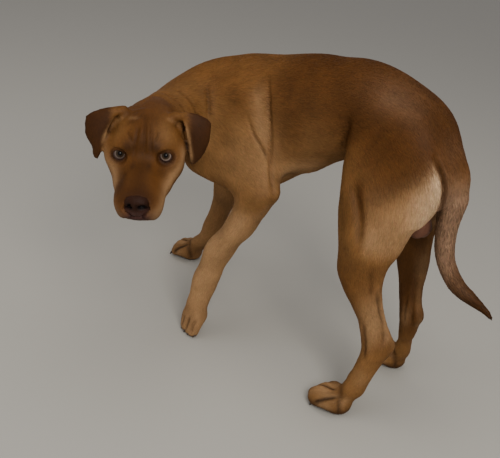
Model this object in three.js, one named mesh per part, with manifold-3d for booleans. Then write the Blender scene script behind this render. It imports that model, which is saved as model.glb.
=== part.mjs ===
// A short-coated, medium-large dog with folded ears, standing on its four paws.
// The back is arched and the front lowered in mid-step, and the neck bends
// to the left, so that the head looks back over the left shoulder.
// Millimetres, +Z up, the dog walks towards -X and its left side is -Y.
// The body is one smooth distance field, cut by thin planes into its parts.
import * as THREE from 'three';
import Module from 'manifold-3d';

const GAP = 0.3;                 // clearance left by every cut
const EYE_RADIUS = 11.5;
const EYE_SPREAD = 37.5;         // half the distance between the two eyes
const HEAD_AT = [-94, -304.6, 432.8];
const HEAD_HEADING = -51;        // degrees in plan, 0 along +X
const HEAD_PITCH = -11;          // muzzle below the horizon
const HEAD_ROLL = 5;

const wasm = await Module();
wasm.setup();

// ---------- small vector and distance-field tools ----------
const V = (...c) => new THREE.Vector3(...c);
const rad = THREE.MathUtils.degToRad;

// smooth union and smooth cut of two distances, k is the blend's width
function join(a, b, k) {
  const h = Math.max(k - Math.abs(a - b), 0) / k;
  return Math.min(a, b) - h * h * k * 0.25;
}
function carve(a, b, k) {
  return -join(-a, b, k);
}

// a limb segment whose radius runs from ra to rb
function bone(a, b, ra, rb) {
  const A = V(...a);
  const B = V(...b);
  const D = B.clone().sub(A);
  const l2 = D.lengthSq();
  return (x, y, z) => {
    const px = x - A.x;
    const py = y - A.y;
    const pz = z - A.z;
    const t = Math.min(1, Math.max(0, (px * D.x + py * D.y + pz * D.z) / l2));
    return Math.hypot(px - D.x * t, py - D.y * t, pz - D.z * t) - (ra + (rb - ra) * t);
  };
}

// an ellipsoid: its first radius lies along dir, the third as near upright as it can
function egg(c, r, dir = [1, 0, 0], up = [0, 0, 1]) {
  const X = V(...dir).normalize();
  const Y = V(...up).cross(X).normalize();
  const Z = X.clone().cross(Y);
  return (x, y, z) => {
    const px = x - c[0];
    const py = y - c[1];
    const pz = z - c[2];
    const a = (px * X.x + py * X.y + pz * X.z) / r[0];
    const b = (px * Y.x + py * Y.y + pz * Y.z) / r[1];
    const d = (px * Z.x + py * Z.y + pz * Z.z) / r[2];
    const k0 = Math.hypot(a, b, d);
    const k1 = Math.hypot(a / r[0], b / r[1], d / r[2]);
    return k1 < 1e-9 ? -Math.min(...r) : k0 * (k0 - 1) / k1;
  };
}

// a tube of oval sections through stations [x, y, z, half width, half height, lean]
function tube(stations, steps = 8) {
  const n = stations.length;
  const samples = [];
  const spline = (k, i, t) => {
    const p = [-1, 0, 1, 2].map(o => stations[Math.min(n - 1, Math.max(0, i + o))][k] ?? 0);
    return 0.5 * (2 * p[1] + (p[2] - p[0]) * t + (2 * p[0] - 5 * p[1] + 4 * p[2] - p[3]) * t * t
      + (3 * p[1] - p[0] - 3 * p[2] + p[3]) * t * t * t);
  };
  for (let i = 0; i < n - 1; i++) {
    for (let s = 0; s < steps; s++) {
      samples.push([0, 1, 2, 3, 4, 5].map(k => spline(k, i, s / steps)));
    }
  }
  samples.push([0, 1, 2, 3, 4, 5].map(k => stations[n - 1][k] ?? 0));
  const pts = samples.map(s => V(s[0], s[1], s[2]));
  const last = pts.length - 1;
  const tangents = pts.map((p, i) => pts[Math.min(last, i + 1)].clone().sub(pts[Math.max(0, i - 1)]).normalize());
  return (x, y, z) => {
    let best = 1e12;
    let at = 0;
    let f = 0;
    for (let i = 0; i < pts.length - 1; i++) {
      const a = pts[i];
      const b = pts[i + 1];
      const dx = b.x - a.x;
      const dy = b.y - a.y;
      const dz = b.z - a.z;
      const t = Math.min(1, Math.max(0, ((x - a.x) * dx + (y - a.y) * dy + (z - a.z) * dz)
        / (dx * dx + dy * dy + dz * dz)));
      const d = (x - a.x - dx * t) ** 2 + (y - a.y - dy * t) ** 2 + (z - a.z - dz * t) ** 2;
      if (d < best) {
        best = d;
        at = i;
        f = t;
      }
    }
    const mix = k => samples[at][k] * (1 - f) + samples[at + 1][k] * f;
    const a = tangents[at];
    const b = tangents[at + 1];
    let tx = a.x * (1 - f) + b.x * f;
    let ty = a.y * (1 - f) + b.y * f;
    let tz = a.z * (1 - f) + b.z * f;
    const l = Math.hypot(tx, ty, tz);
    tx /= l;
    ty /= l;
    tz /= l;
    const lean = rad(mix(5));
    // side vector: level, square to the tube, then leaned about it
    let sx = -ty;
    let sy = tx;
    const sl = Math.hypot(sx, sy) || 1;
    sx /= sl;
    sy /= sl;
    const ux = -tz * sy;
    const uy = tz * sx;
    const uz = tx * sy - ty * sx;
    const qx = x - mix(0);
    const qy = y - mix(1);
    const qz = z - mix(2);
    const side = qx * sx + qy * sy;
    const rise = qx * ux + qy * uy + qz * uz;
    const w = mix(3);
    const h = mix(4);
    const p = (side * Math.cos(lean) + rise * Math.sin(lean)) / w;
    const q = (rise * Math.cos(lean) - side * Math.sin(lean)) / h;
    const end = (at === 0 && f === 0) || (at === last - 1 && f === 1);
    const o = end ? (qx * tx + qy * ty + qz * tz) / Math.min(w, h) : 0;
    const k0 = Math.hypot(p, q, o);
    const k1 = Math.hypot(p / w, q / h, o / Math.min(w, h));
    return k1 < 1e-9 ? -Math.min(w, h) : k0 * (k0 - 1) / k1;
  };
}

const all = (list, k) => (x, y, z) => {
  let d = list[0](x, y, z);
  for (let i = 1; i < list.length; i++) d = join(d, list[i](x, y, z), k);
  return d;
};

// ---------- trunk and neck ----------
// stations along the back: x, y, top, bottom, half width
const back = [
  [292, 0, 508, 430, 46],
  [272, 3, 540, 430, 58],
  [240, 9, 572, 440, 68],
  [195, 18, 600, 450, 72],
  [140, 26, 612, 448, 74],
  [110, 30, 612, 440, 79],
  [80, 32, 607, 416, 85],
  [40, 34, 601, 392, 92],
  [0, 35, 590, 362, 98],
  [-50, 33, 575, 320, 98],
  [-100, 28, 558, 288, 94],
  [-140, 17, 546, 284, 84],
  [-172, 2, 534, 300, 74],
  [-195, -14, 518, 330, 62],
].map(([x, y, top, bottom, w]) => [x, y, (top + bottom) / 2, w, (top - bottom) / 2]);
const barrel = tube(back);
const throat = tube([
  [-110, 25, 452, 72, 88],
  [-165, 8, 452, 66, 84],
  [-192, -35, 448, 60, 74],
  [-194, -90, 443, 56, 66],
  [-182, -145, 436, 54, 60],
  [-166, -200, 436, 52, 56],
]);

// ---------- legs ----------
const frontLeft = all([
  egg([-104, -40, 440], [92, 32, 50], [-0.3, -0.1, 0.9], [1, 0, 0]),
  bone([-146, -60, 376], [-4, -70, 336], 43, 34),
  egg([-48, -56, 402], [82, 34, 46], [-0.72, 0.05, 0.6], [1, 0, 0.4]),
  bone([4, -74, 330], [17, -74, 336], 20, 17),
  bone([-4, -76, 322], [-27, -86, 262], 31, 28),
  bone([-27, -86, 262], [-56, -96, 196], 28, 25),
  bone([-56, -96, 196], [-75, -107, 125], 25, 19),
  bone([-75, -107, 125], [-76, -110, 100], 20, 19),
], 22);
const frontRight = all([
  egg([-148, 58, 436], [88, 34, 50], [-0.3, 0.1, 0.9], [1, 0, 0]),
  bone([-205, 72, 385], [-170, 82, 325], 46, 34),
  bone([-168, 82, 322], [-190, 84, 240], 32, 27),
  bone([-190, 84, 240], [-216, 88, 118], 25, 18),
  bone([-216, 88, 118], [-222, 89, 96], 19, 18),
], 24);
const hindLeft = all([
  egg([240, -42, 485], [84, 36, 56], [0.1, 0.1, 1], [1, 0, 0]),
  egg([214, -72, 398], [118, 34, 48], [-0.16, 0.22, 0.96], [1, 0, 0]),
  egg([172, -48, 462], [46, 26, 30], [1, 0, 0.5]),
  egg([276, -64, 398], [98, 32, 40], [0.32, 0.25, 0.92], [1, 0, 0]),
  egg([302, -44, 446], [46, 20, 24], [0.1, 0.1, 1], [1, 0, 0]),
  tube([
    [226, -88, 340, 35, 46],
    [230, -92, 300, 32, 42],
    [242, -91, 270, 28, 38],
    [258, -87, 235, 23, 30],
    [273, -81, 200, 18, 25],
    [287, -78, 168, 18, 26],
    [294, -79, 140, 18, 25],
    [292, -87, 105, 17, 20],
    [282, -97, 60, 17, 18],
  ]),
  bone([302, -73, 160], [317, -70, 160], 15, 11),
], 16);
const hindRight = all([
  egg([240, 52, 485], [84, 36, 56], [0.1, -0.1, 1], [1, 0, 0]),
  egg([218, 78, 398], [116, 34, 48], [-0.14, -0.2, 0.96], [1, 0, 0]),
  egg([174, 62, 462], [46, 26, 30], [1, 0, 0.5]),
  egg([274, 72, 398], [98, 32, 38], [0.3, -0.2, 0.92], [1, 0, 0]),
  egg([298, 46, 446], [46, 20, 24], [0.1, -0.1, 1], [1, 0, 0]),
  tube([
    [240, 90, 340, 34, 46],
    [250, 90, 300, 32, 41],
    [262, 85, 255, 28, 34],
    [274, 78, 210, 20, 28],
    [287, 73, 172, 18, 25],
    [295, 72, 146, 18, 24],
    [298, 75, 115, 17, 19],
    [296, 85, 75, 16, 16],
    [290, 94, 48, 17, 17],
  ]),
  bone([302, 69, 156], [312, 67, 150], 14, 11),
], 16);

// ---------- paws: four toes, arched, round a wrist ----------
function paw(at, heading, pastern) {
  const c = Math.cos(rad(heading));
  const s = Math.sin(rad(heading));
  const place = (f, l, u) => [at[0] + c * f - s * l, at[1] + s * f + c * l, u];
  const toes = [-1.5, -0.5, 0.5, 1.5].map(k => all([
    bone(place(-14, k * 12, 27), place(17 - 5 * Math.abs(k), k * 15.5, 21), 15, 13),
    bone(place(17 - 5 * Math.abs(k), k * 15.5, 21), place(28 - 7 * Math.abs(k), k * 16, 12), 12, 10.5),
  ], 6));
  const claws = [-1.5, -0.5, 0.5, 1.5].map(k => [
    place(32 - 7 * Math.abs(k), k * 16, 14), place(47 - 7 * Math.abs(k), k * 16.5, 5)]);
  return { claws, field: all([
    all([egg(place(-14, 0, 16), [28, 27, 19], [c, s, 0]), bone(place(-12, 0, 22), pastern, 21, 17)], 14),
    all(toes, 3),
  ], 7) };
}
const paws = {
  front_right: paw([-296, 102], 184, [-226, 89, 88]),
  hind_left: paw([249, -107], 182, [282, -96, 58]),
  hind_right: paw([262, 102], 182, [290, 93, 46]),
};
// the left fore paw is just set down on its toes, under a steep pastern
const steppingToes = [-1.5, -0.5, 0.5, 1.5].map(k => all([
  bone([-76 + k * 5, -116 + k * -3, 72], [-80 + k * 10, -126 - k * 4, 34], 11, 12),
  bone([-80 + k * 10, -126 - k * 4, 34], [-84 + k * 11 + Math.abs(k) * 2, -135 - k * 5 + Math.abs(k) * 2, 8], 12, 11),
], 6));
const steppingClaws = [-1.5, -0.5, 0.5, 1.5].map(k => [
  [-85 + k * 11 + Math.abs(k) * 2, -138 - k * 5 + Math.abs(k) * 2, 14],
  [-90 + k * 12 + Math.abs(k) * 2, -149 - k * 5 + Math.abs(k) * 2, 3],
]);
paws.front_left = { claws: steppingClaws, field: all([
  bone([-72, -109, 105], [-78, -118, 64], 18, 19),
  all(steppingToes, 3),
  egg([-74, -118, 40], [19, 22, 20]),
], 8) };

// ---------- tail ----------
const tailField = tube([
  [288, 0, 502, 32, 32],
  [318, 0, 476, 29, 29],
  [328, 1, 425, 22, 22],
  [332, 5, 370, 19, 19],
  [344, 10, 320, 17, 17],
  [373, 14, 283, 14, 14],
  [412, 17, 264, 11, 11],
  [454, 19, 244, 5, 5],
]);

// ---------- head, in its own frame: f forward, l left, u up ----------
const hf = V(Math.cos(rad(HEAD_HEADING)) * Math.cos(rad(HEAD_PITCH)),
  Math.sin(rad(HEAD_HEADING)) * Math.cos(rad(HEAD_PITCH)), Math.sin(rad(HEAD_PITCH)));
const hl = V(0, 0, 1).cross(hf).normalize().applyAxisAngle(hf, rad(HEAD_ROLL));
const hu = hf.clone().cross(hl);
const headPoint = (f, l, u) => V(...HEAD_AT).addScaledVector(hf, f).addScaledVector(hl, l).addScaledVector(hu, u);
const pair = make => (f, l, u) => make(f, Math.abs(l), u);
const skull = all([
  egg([-54, 0, 13], [62, 53, 44]),
  egg([-84, 0, 22], [42, 38, 36]),
  pair(egg([-36, 44, -6], [40, 23, 24])),
  pair(egg([-42, 41, -30], [40, 23, 36])),
], 18);
const muzzle = all([
  tube([
    [-14, 0, -20, 38, 34],
    [22, 0, -24, 34, 27],
    [56, 0, -30, 32, 26],
    [80, 0, -34, 29, 24],
  ]),
  pair(egg([56, 20, -43], [38, 21, 26])),
  pair(egg([4, 30, -42], [40, 20, 24])),
  bone([-46, 0, -50], [74, 0, -57], 20, 14),
], 12);
const brow = pair(egg([-14, 28, 17], [22, 17, 11]));
const lids = pair((f, l, u) => Math.hypot(f + 6, l - EYE_SPREAD, u) - EYE_RADIUS - 2.2);
function headLocal(f, l, u) {
  let d = join(skull(f, l, u), muzzle(f, l, u), 16);
  d = join(d, brow(f, l, u), 12);
  return join(d, lids(f, l, u), 6);
}
function toHead(x, y, z) {
  const qx = x - HEAD_AT[0];
  const qy = y - HEAD_AT[1];
  const qz = z - HEAD_AT[2];
  return [qx * hf.x + qy * hf.y + qz * hf.z, qx * hl.x + qy * hl.y + qz * hl.z, qx * hu.x + qy * hu.y + qz * hu.z];
}
const headField = (x, y, z) => headLocal(...toHead(x, y, z));
// ---------- the whole body ----------
function body(x, y, z) {
  let d = join(barrel(x, y, z), throat(x, y, z), 44);
  d = join(d, frontLeft(x, y, z), 26);
  d = join(d, frontRight(x, y, z), 26);
  d = join(d, hindLeft(x, y, z), 30);
  d = join(d, hindRight(x, y, z), 30);
  for (const p of Object.values(paws)) d = join(d, p.field(x, y, z), 10);
  d = join(d, tailField(x, y, z), 14);
  return join(d, headField(x, y, z), 34);
}
const scrotumField = all([
  egg([287, -6, 361], [16, 13, 20]),
  egg([290, 13, 359], [16, 13, 20]),
  bone([286, 3, 368], [276, 3, 404], 17, 22),
], 8);

// ---------- surface of a field inside a box, as a closed mesh ----------
function surface(field, lo, hi, cell, relax = 2) {
  const n = [0, 1, 2].map(k => Math.ceil((hi[k] - lo[k]) / cell) + 1);
  const at = (i, j, k) => (k * n[1] + j) * n[0] + i;
  const value = new Float64Array(n[0] * n[1] * n[2]);
  for (let k = 0; k < n[2]; k++) {
    for (let j = 0; j < n[1]; j++) {
      for (let i = 0; i < n[0]; i++) {
        const edge = i === 0 || j === 0 || k === 0 || i === n[0] - 1 || j === n[1] - 1 || k === n[2] - 1;
        const v = field(lo[0] + i * cell, lo[1] + j * cell, lo[2] + k * cell);
        value[at(i, j, k)] = edge ? Math.max(v, cell * 0.5) : v;
      }
    }
  }
  const index = new Map();
  const verts = [];
  const vertex = (i, j, k) => {
    const key = at(i, j, k);
    if (index.has(key)) return index.get(key);
    let sx = 0;
    let sy = 0;
    let sz = 0;
    let c = 0;
    const corner = (a, b, d) => value[at(i + a, j + b, k + d)];
    for (let e = 0; e < 12; e++) {
      const axis = e >> 2;
      const a = [0, 0, 0];
      a[(axis + 1) % 3] = e & 1;
      a[(axis + 2) % 3] = (e >> 1) & 1;
      const b = [...a];
      b[axis] = 1;
      const v0 = corner(...a);
      const v1 = corner(...b);
      if (v0 < 0 === v1 < 0) continue;
      const t = v0 / (v0 - v1);
      sx += a[0] + (b[0] - a[0]) * t;
      sy += a[1] + (b[1] - a[1]) * t;
      sz += a[2] + (b[2] - a[2]) * t;
      c++;
    }
    const p = [lo[0] + (i + sx / c) * cell, lo[1] + (j + sy / c) * cell, lo[2] + (k + sz / c) * cell];
    verts.push(...p);
    index.set(key, verts.length / 3 - 1);
    return verts.length / 3 - 1;
  };
  const tris = [];
  for (let k = 0; k < n[2] - 1; k++) {
    for (let j = 0; j < n[1] - 1; j++) {
      for (let i = 0; i < n[0] - 1; i++) {
        const here = value[at(i, j, k)] < 0;
        const cells = [
          [value[at(i + 1, j, k)] < 0, [[0, 0, 0], [0, -1, 0], [0, -1, -1], [0, 0, -1]]],
          [value[at(i, j + 1, k)] < 0, [[0, 0, 0], [0, 0, -1], [-1, 0, -1], [-1, 0, 0]]],
          [value[at(i, j, k + 1)] < 0, [[0, 0, 0], [-1, 0, 0], [-1, -1, 0], [0, -1, 0]]],
        ];
        for (const [next, ring] of cells) {
          if (here === next) continue;
          const q = ring.map(([a, b, d]) => vertex(i + a, j + b, k + d));
          if (!here) q.reverse();
          const span = (a, b) => Math.hypot(verts[3 * a] - verts[3 * b], verts[3 * a + 1] - verts[3 * b + 1],
            verts[3 * a + 2] - verts[3 * b + 2]);
          if (span(q[0], q[2]) < span(q[1], q[3])) tris.push(q[0], q[1], q[2], q[0], q[2], q[3]);
          else tris.push(q[1], q[2], q[3], q[1], q[3], q[0]);
        }
      }
    }
  }
  // the points are evened out and brought back onto the field by turns
  const near = new Map();
  for (let i = 0; i < tris.length; i += 3) {
    for (let e = 0; e < 3; e++) {
      const a = tris[i + e];
      if (!near.has(a)) near.set(a, new Set());
      near.get(a).add(tris[i + (e + 1) % 3]);
    }
  }
  const settle = a => {
    const p = [verts[3 * a], verts[3 * a + 1], verts[3 * a + 2]];
    const h = 0.5;
    const d = field(...p);
    const g = [0, 1, 2].map(k => {
      const q = [...p];
      q[k] += h;
      const r = [...p];
      r[k] -= h;
      return (field(...q) - field(...r)) / (2 * h);
    });
    const g2 = g[0] * g[0] + g[1] * g[1] + g[2] * g[2];
    if (g2 < 0.3 || g2 > 2.5) return;
    const m = Math.max(-cell * 0.3, Math.min(cell * 0.3, d)) / g2;
    for (let k = 0; k < 3; k++) verts[3 * a + k] -= g[k] * m;
  };
  for (let turn = 0; turn <= relax; turn++) {
    for (const a of near.keys()) settle(a);
    if (turn === relax) break;
    const old = verts.slice();
    for (const [a, ring] of near) {
      for (let k = 0; k < 3; k++) {
        let sum = 0;
        for (const b of ring) sum += old[3 * b + k];
        verts[3 * a + k] = old[3 * a + k] * 0.45 + sum / ring.size * 0.55;
      }
    }
  }
  return solid(verts, tris);
}

function solid(verts, tris) {
  const mesh = new wasm.Mesh({
    numProp: 3, vertProperties: new Float32Array(verts), triVerts: new Uint32Array(tris),
  });
  return new wasm.Manifold(mesh);
}
function fromGeometry(geometry) {
  const p = geometry.attributes.position;
  const seen = new Map();
  const verts = [];
  const map = [];
  for (let i = 0; i < p.count; i++) {
    const v = [p.getX(i), p.getY(i), p.getZ(i)].map(c => Math.round(c * 1e4) / 1e4);
    const key = v.join();
    if (!seen.has(key)) {
      seen.set(key, verts.length / 3);
      verts.push(...v);
    }
    map.push(seen.get(key));
  }
  const idx = geometry.index ? [...geometry.index.array] : map.map((_, i) => i);
  const tris = [];
  for (let i = 0; i < idx.length; i += 3) {
    const t = [map[idx[i]], map[idx[i + 1]], map[idx[i + 2]]];
    if (t[0] !== t[1] && t[1] !== t[2] && t[2] !== t[0]) tris.push(...t);
  }
  return solid(verts, tris);
}
// everything on the far side of a plane through `at`, on the side `normal` points to
function beyond(at, normal, size = 2000) {
  const box = new THREE.BoxGeometry(size, size, size);
  box.translate(0, 0, size / 2);
  box.applyQuaternion(new THREE.Quaternion().setFromUnitVectors(V(0, 0, 1), V(...normal).normalize()));
  box.translate(...at);
  return fromGeometry(box);
}
// a solid's copy with every vertex pushed out along its normal
function swell(m, by = GAP) {
  const mesh = m.getMesh();
  const verts = [];
  for (let i = 0; i < mesh.numVert; i++) {
    for (let k = 0; k < 3; k++) verts.push(mesh.vertProperties[i * mesh.numProp + k]);
  }
  const geometry = new THREE.BufferGeometry();
  geometry.setAttribute('position', new THREE.Float32BufferAttribute(verts, 3));
  geometry.setIndex([...mesh.triVerts]);
  geometry.computeVertexNormals();
  const n = geometry.attributes.normal.array;
  return solid(verts.map((v, i) => v + n[i] * by), [...mesh.triVerts]);
}
function biggest(m) {
  const pieces = m.decompose();
  return pieces.sort((a, b) => b.volume() - a.volume())[0];
}

// cuts leave edges too short to matter: their two ends are made one
function tidy(m, shortest = 0.12) {
  const mesh = m.getMesh();
  const n = mesh.numVert;
  const p = i => V(...[0, 1, 2].map(k => mesh.vertProperties[i * mesh.numProp + k]));
  const merged = new Map();
  if (mesh.mergeFromVert) mesh.mergeFromVert.forEach((v, i) => merged.set(v, mesh.mergeToVert[i]));
  const owner = Array.from({ length: n }, (_, i) => merged.get(i) ?? i);
  const root = i => {
    while (owner[i] !== i) i = owner[i];
    return i;
  };
  const t = mesh.triVerts;
  for (let i = 0; i < t.length; i += 3) {
    for (let e = 0; e < 3; e++) {
      const a = root(t[i + e]);
      const b = root(t[i + (e + 1) % 3]);
      if (a !== b && p(a).distanceTo(p(b)) < shortest) owner[Math.max(a, b)] = Math.min(a, b);
    }
  }
  const index = new Map();
  const verts = [];
  const tris = [];
  const use = i => {
    const place = p(root(i));
    const key = place.toArray().map(x => x.toFixed(3)).join();
    if (!index.has(key)) {
      index.set(key, verts.length / 3);
      verts.push(...place);
    }
    return index.get(key);
  };
  for (let i = 0; i < t.length; i += 3) {
    const q = [use(t[i]), use(t[i + 1]), use(t[i + 2])];
    if (q[0] !== q[1] && q[1] !== q[2] && q[2] !== q[0]) tris.push(q);
  }
  return solid(verts, unpinch(verts, tris).flat());
}

// where two sheets touch along one edge, that edge is turned in the flatter of them
function unpinch(verts, tris) {
  const at = i => V(verts[3 * i], verts[3 * i + 1], verts[3 * i + 2]);
  const facing = ([a, b, c]) => at(b).sub(at(a)).cross(at(c).sub(at(a))).normalize();
  for (let round = 0; round < 6; round++) {
    const edges = new Map();
    tris.forEach((q, i) => q.forEach((a, e) => {
      const key = `${a},${q[(e + 1) % 3]}`;
      edges.set(key, [...(edges.get(key) ?? []), i]);
    }));
    const doubled = [...edges].filter(([, users]) => users.length > 1);
    if (!doubled.length) break;
    const touched = new Set();
    for (const [key, users] of doubled) {
      const [a, b] = key.split(",").map(Number);
      const others = edges.get(`${b},${a}`);
      if ([...users, ...others].some(i => touched.has(i))) continue;
      let best = null;
      for (const i of users) {
        for (const j of others) {
          const c = tris[i].find(v => v !== a && v !== b);
          const d = tris[j].find(v => v !== a && v !== b);
          const joined = edges.has(`${c},${d}`) || edges.has(`${d},${c}`);
          const flat = facing(tris[i]).dot(facing(tris[j])) - (joined ? 9 : 0);
          if (!best || flat > best.flat) best = { i, j, c, d, flat };
        }
      }
      const { c, d } = best;
      [...users, ...others].forEach(i => touched.add(i));
      if (c === d) {
        tris[best.i] = null;
        tris[best.j] = null;
      } else {
        tris[best.i] = [a, d, c];
        tris[best.j] = [d, b, c];
      }
    }
    tris = tris.filter(Boolean);
  }
  return tris;
}

const group = new THREE.Group();
function add(name, m, color, roughness = 0.8) {
  const mesh = m.getMesh();
  const geometry = new THREE.BufferGeometry();
  const n = mesh.vertProperties.length / mesh.numProp;
  const xyz = new Float32Array(n * 3);
  for (let i = 0; i < n; i++) {
    for (let k = 0; k < 3; k++) xyz[3 * i + k] = mesh.vertProperties[i * mesh.numProp + k];
  }
  geometry.setAttribute('position', new THREE.BufferAttribute(xyz, 3));
  geometry.setIndex([...mesh.triVerts]);
  geometry.computeVertexNormals();
  const piece = new THREE.Mesh(geometry, new THREE.MeshStandardMaterial({ color, roughness, metalness: 0 }));
  piece.name = name;
  group.add(piece);
  return piece;
}

// ---------- cutting the body into its parts ----------
const box = (lo, hi) => {
  const b = new THREE.BoxGeometry(hi[0] - lo[0], hi[1] - lo[1], hi[2] - lo[2]);
  b.translate(...[0, 1, 2].map(k => (lo[k] + hi[k]) / 2));
  return fromGeometry(b);
};
const grow = GAP / 2;
// the surface over one region, kept where `keep` is and cleared where `drop` is
function region(lo, hi, cell, keep, drop) {
  let m = surface(body, lo, hi, cell);
  for (const k of keep) m = m.intersect(k);
  for (const k of drop) m = m.subtract(k);
  return biggest(m);
}
// a box region and the same region grown by the clearance, to clear its neighbour
const zone = (lo, hi) => ({
  inside: box(lo.map(v => v + grow), hi.map(v => v - grow)),
  outside: box(lo.map(v => v - grow), hi.map(v => v + grow)),
  lo,
  hi,
});
const zones = {
  leg_front_left: zone([-160, -220, 84], [90, -46, 302]),
  leg_front_right: zone([-330, 52, 62], [-115, 220, 292]),
  leg_hind_left: zone([150, -220, 64], [360, -21, 384]),
  leg_hind_right: zone([150, 24, 64], [360, 220, 384]),
  paw_front_left: zone([-160, -220, 0], [-20, -60, 84]),
  paw_front_right: zone([-400, 40, 0], [-190, 200, 62]),
  paw_hind_left: zone([150, -220, 0], [360, -40, 64]),
  paw_hind_right: zone([150, 50, 0], [360, 200, 64]),
  tail: zone([306, -28, 200], [520, 60, 446]),
};
const plane = (at, n) => {
  const u = V(...n).normalize();
  const shift = k => at.map((v, i) => v + u.getComponent(i) * k);
  return { far: beyond(shift(grow), n), near: beyond(shift(-grow), n) };
};
const nape = plane([-172, -198, 438], [0.18, -0.98, 0]);
const collar = plane([-190, -100, 440], [-0.42, -0.9, 0.1]);

const legs = Object.keys(zones).filter(k => k !== 'tail');
const coat = {
  trunk: region([-300, -190, 260], [350, 170, 640], 28.5, [],
    [collar.near, ...Object.values(zones).map(k => k.outside)]),
  neck: region([-300, -260, 340], [-90, -40, 530], 19, [collar.far], [nape.near]),
  head: region([-230, -420, 330], [20, -170, 520], 11.5, [nape.far], []),
};
for (const k of legs) {
  const { lo, hi, inside } = zones[k];
  const m = k.startsWith('paw') ? 12 : 20;
  const cell = k.startsWith('paw') ? 10.5 : k.startsWith('leg_hind') ? 19 : 16;
  coat[k] = region(lo.map(v => v - m), hi.map(v => v + m), cell, [inside], []);
}
// ---------- claws, one on each toe ----------
for (const [name, p] of Object.entries(paws)) {
  for (const [from, to] of p.claws) {
    const a = V(...from);
    const b = V(...to);
    const cone = new THREE.ConeGeometry(3.8, a.distanceTo(b), 6);
    cone.applyQuaternion(new THREE.Quaternion().setFromUnitVectors(V(0, 1, 0), b.clone().sub(a).normalize()));
    cone.translate(...a.clone().add(b).multiplyScalar(0.5));
    coat[`paw_${name}`] = coat[`paw_${name}`].add(fromGeometry(cone));
  }
}
coat.tail = region([280, -50, 220], [490, 60, 470], 14, [zones.tail.inside], []);

// ---------- eyes, each in its socket behind an almond-shaped opening ----------
const ball = (at, r, w = 12, h = 8) => {
  const g = new THREE.SphereGeometry(r, w, h);
  g.translate(at.x, at.y, at.z);
  return fromGeometry(g);
};
for (const [name, side] of [['left', 1], ['right', -1]]) {
  const at = headPoint(-6, side * EYE_SPREAD, 0);
  const gaze = hf.clone().addScaledVector(hl, side * 0.25).addScaledVector(hu, 0.3).normalize();
  const opening = new THREE.CylinderGeometry(1, 1, 40, 12);
  opening.scale(10.5, 1, 9);
  const across = hu.clone().cross(gaze).normalize();
  const turn = new THREE.Matrix4().makeBasis(across, gaze, across.clone().cross(gaze));
  opening.applyMatrix4(turn);
  opening.translate(...at.clone().addScaledVector(gaze, 18));
  coat.head = biggest(coat.head.subtract(ball(at, EYE_RADIUS + GAP)).subtract(fromGeometry(opening)));
  coat[`eye_${name}`] = ball(at, EYE_RADIUS);
}

// ---------- nose pad ----------
const noseField = (x, y, z) => {
  const [f, l, u] = toHead(x, y, z);
  return join(egg([88, 0, -24], [15, 22.5, 14])(f, l, u), egg([86, 0, -38], [12, 11, 13])(f, l, u), 10);
};
coat.nose = surface(noseField, [-80, -400, 360], [0, -330, 450], 7);
coat.head = biggest(coat.head.subtract(swell(coat.nose, GAP * 1.5)));

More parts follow.
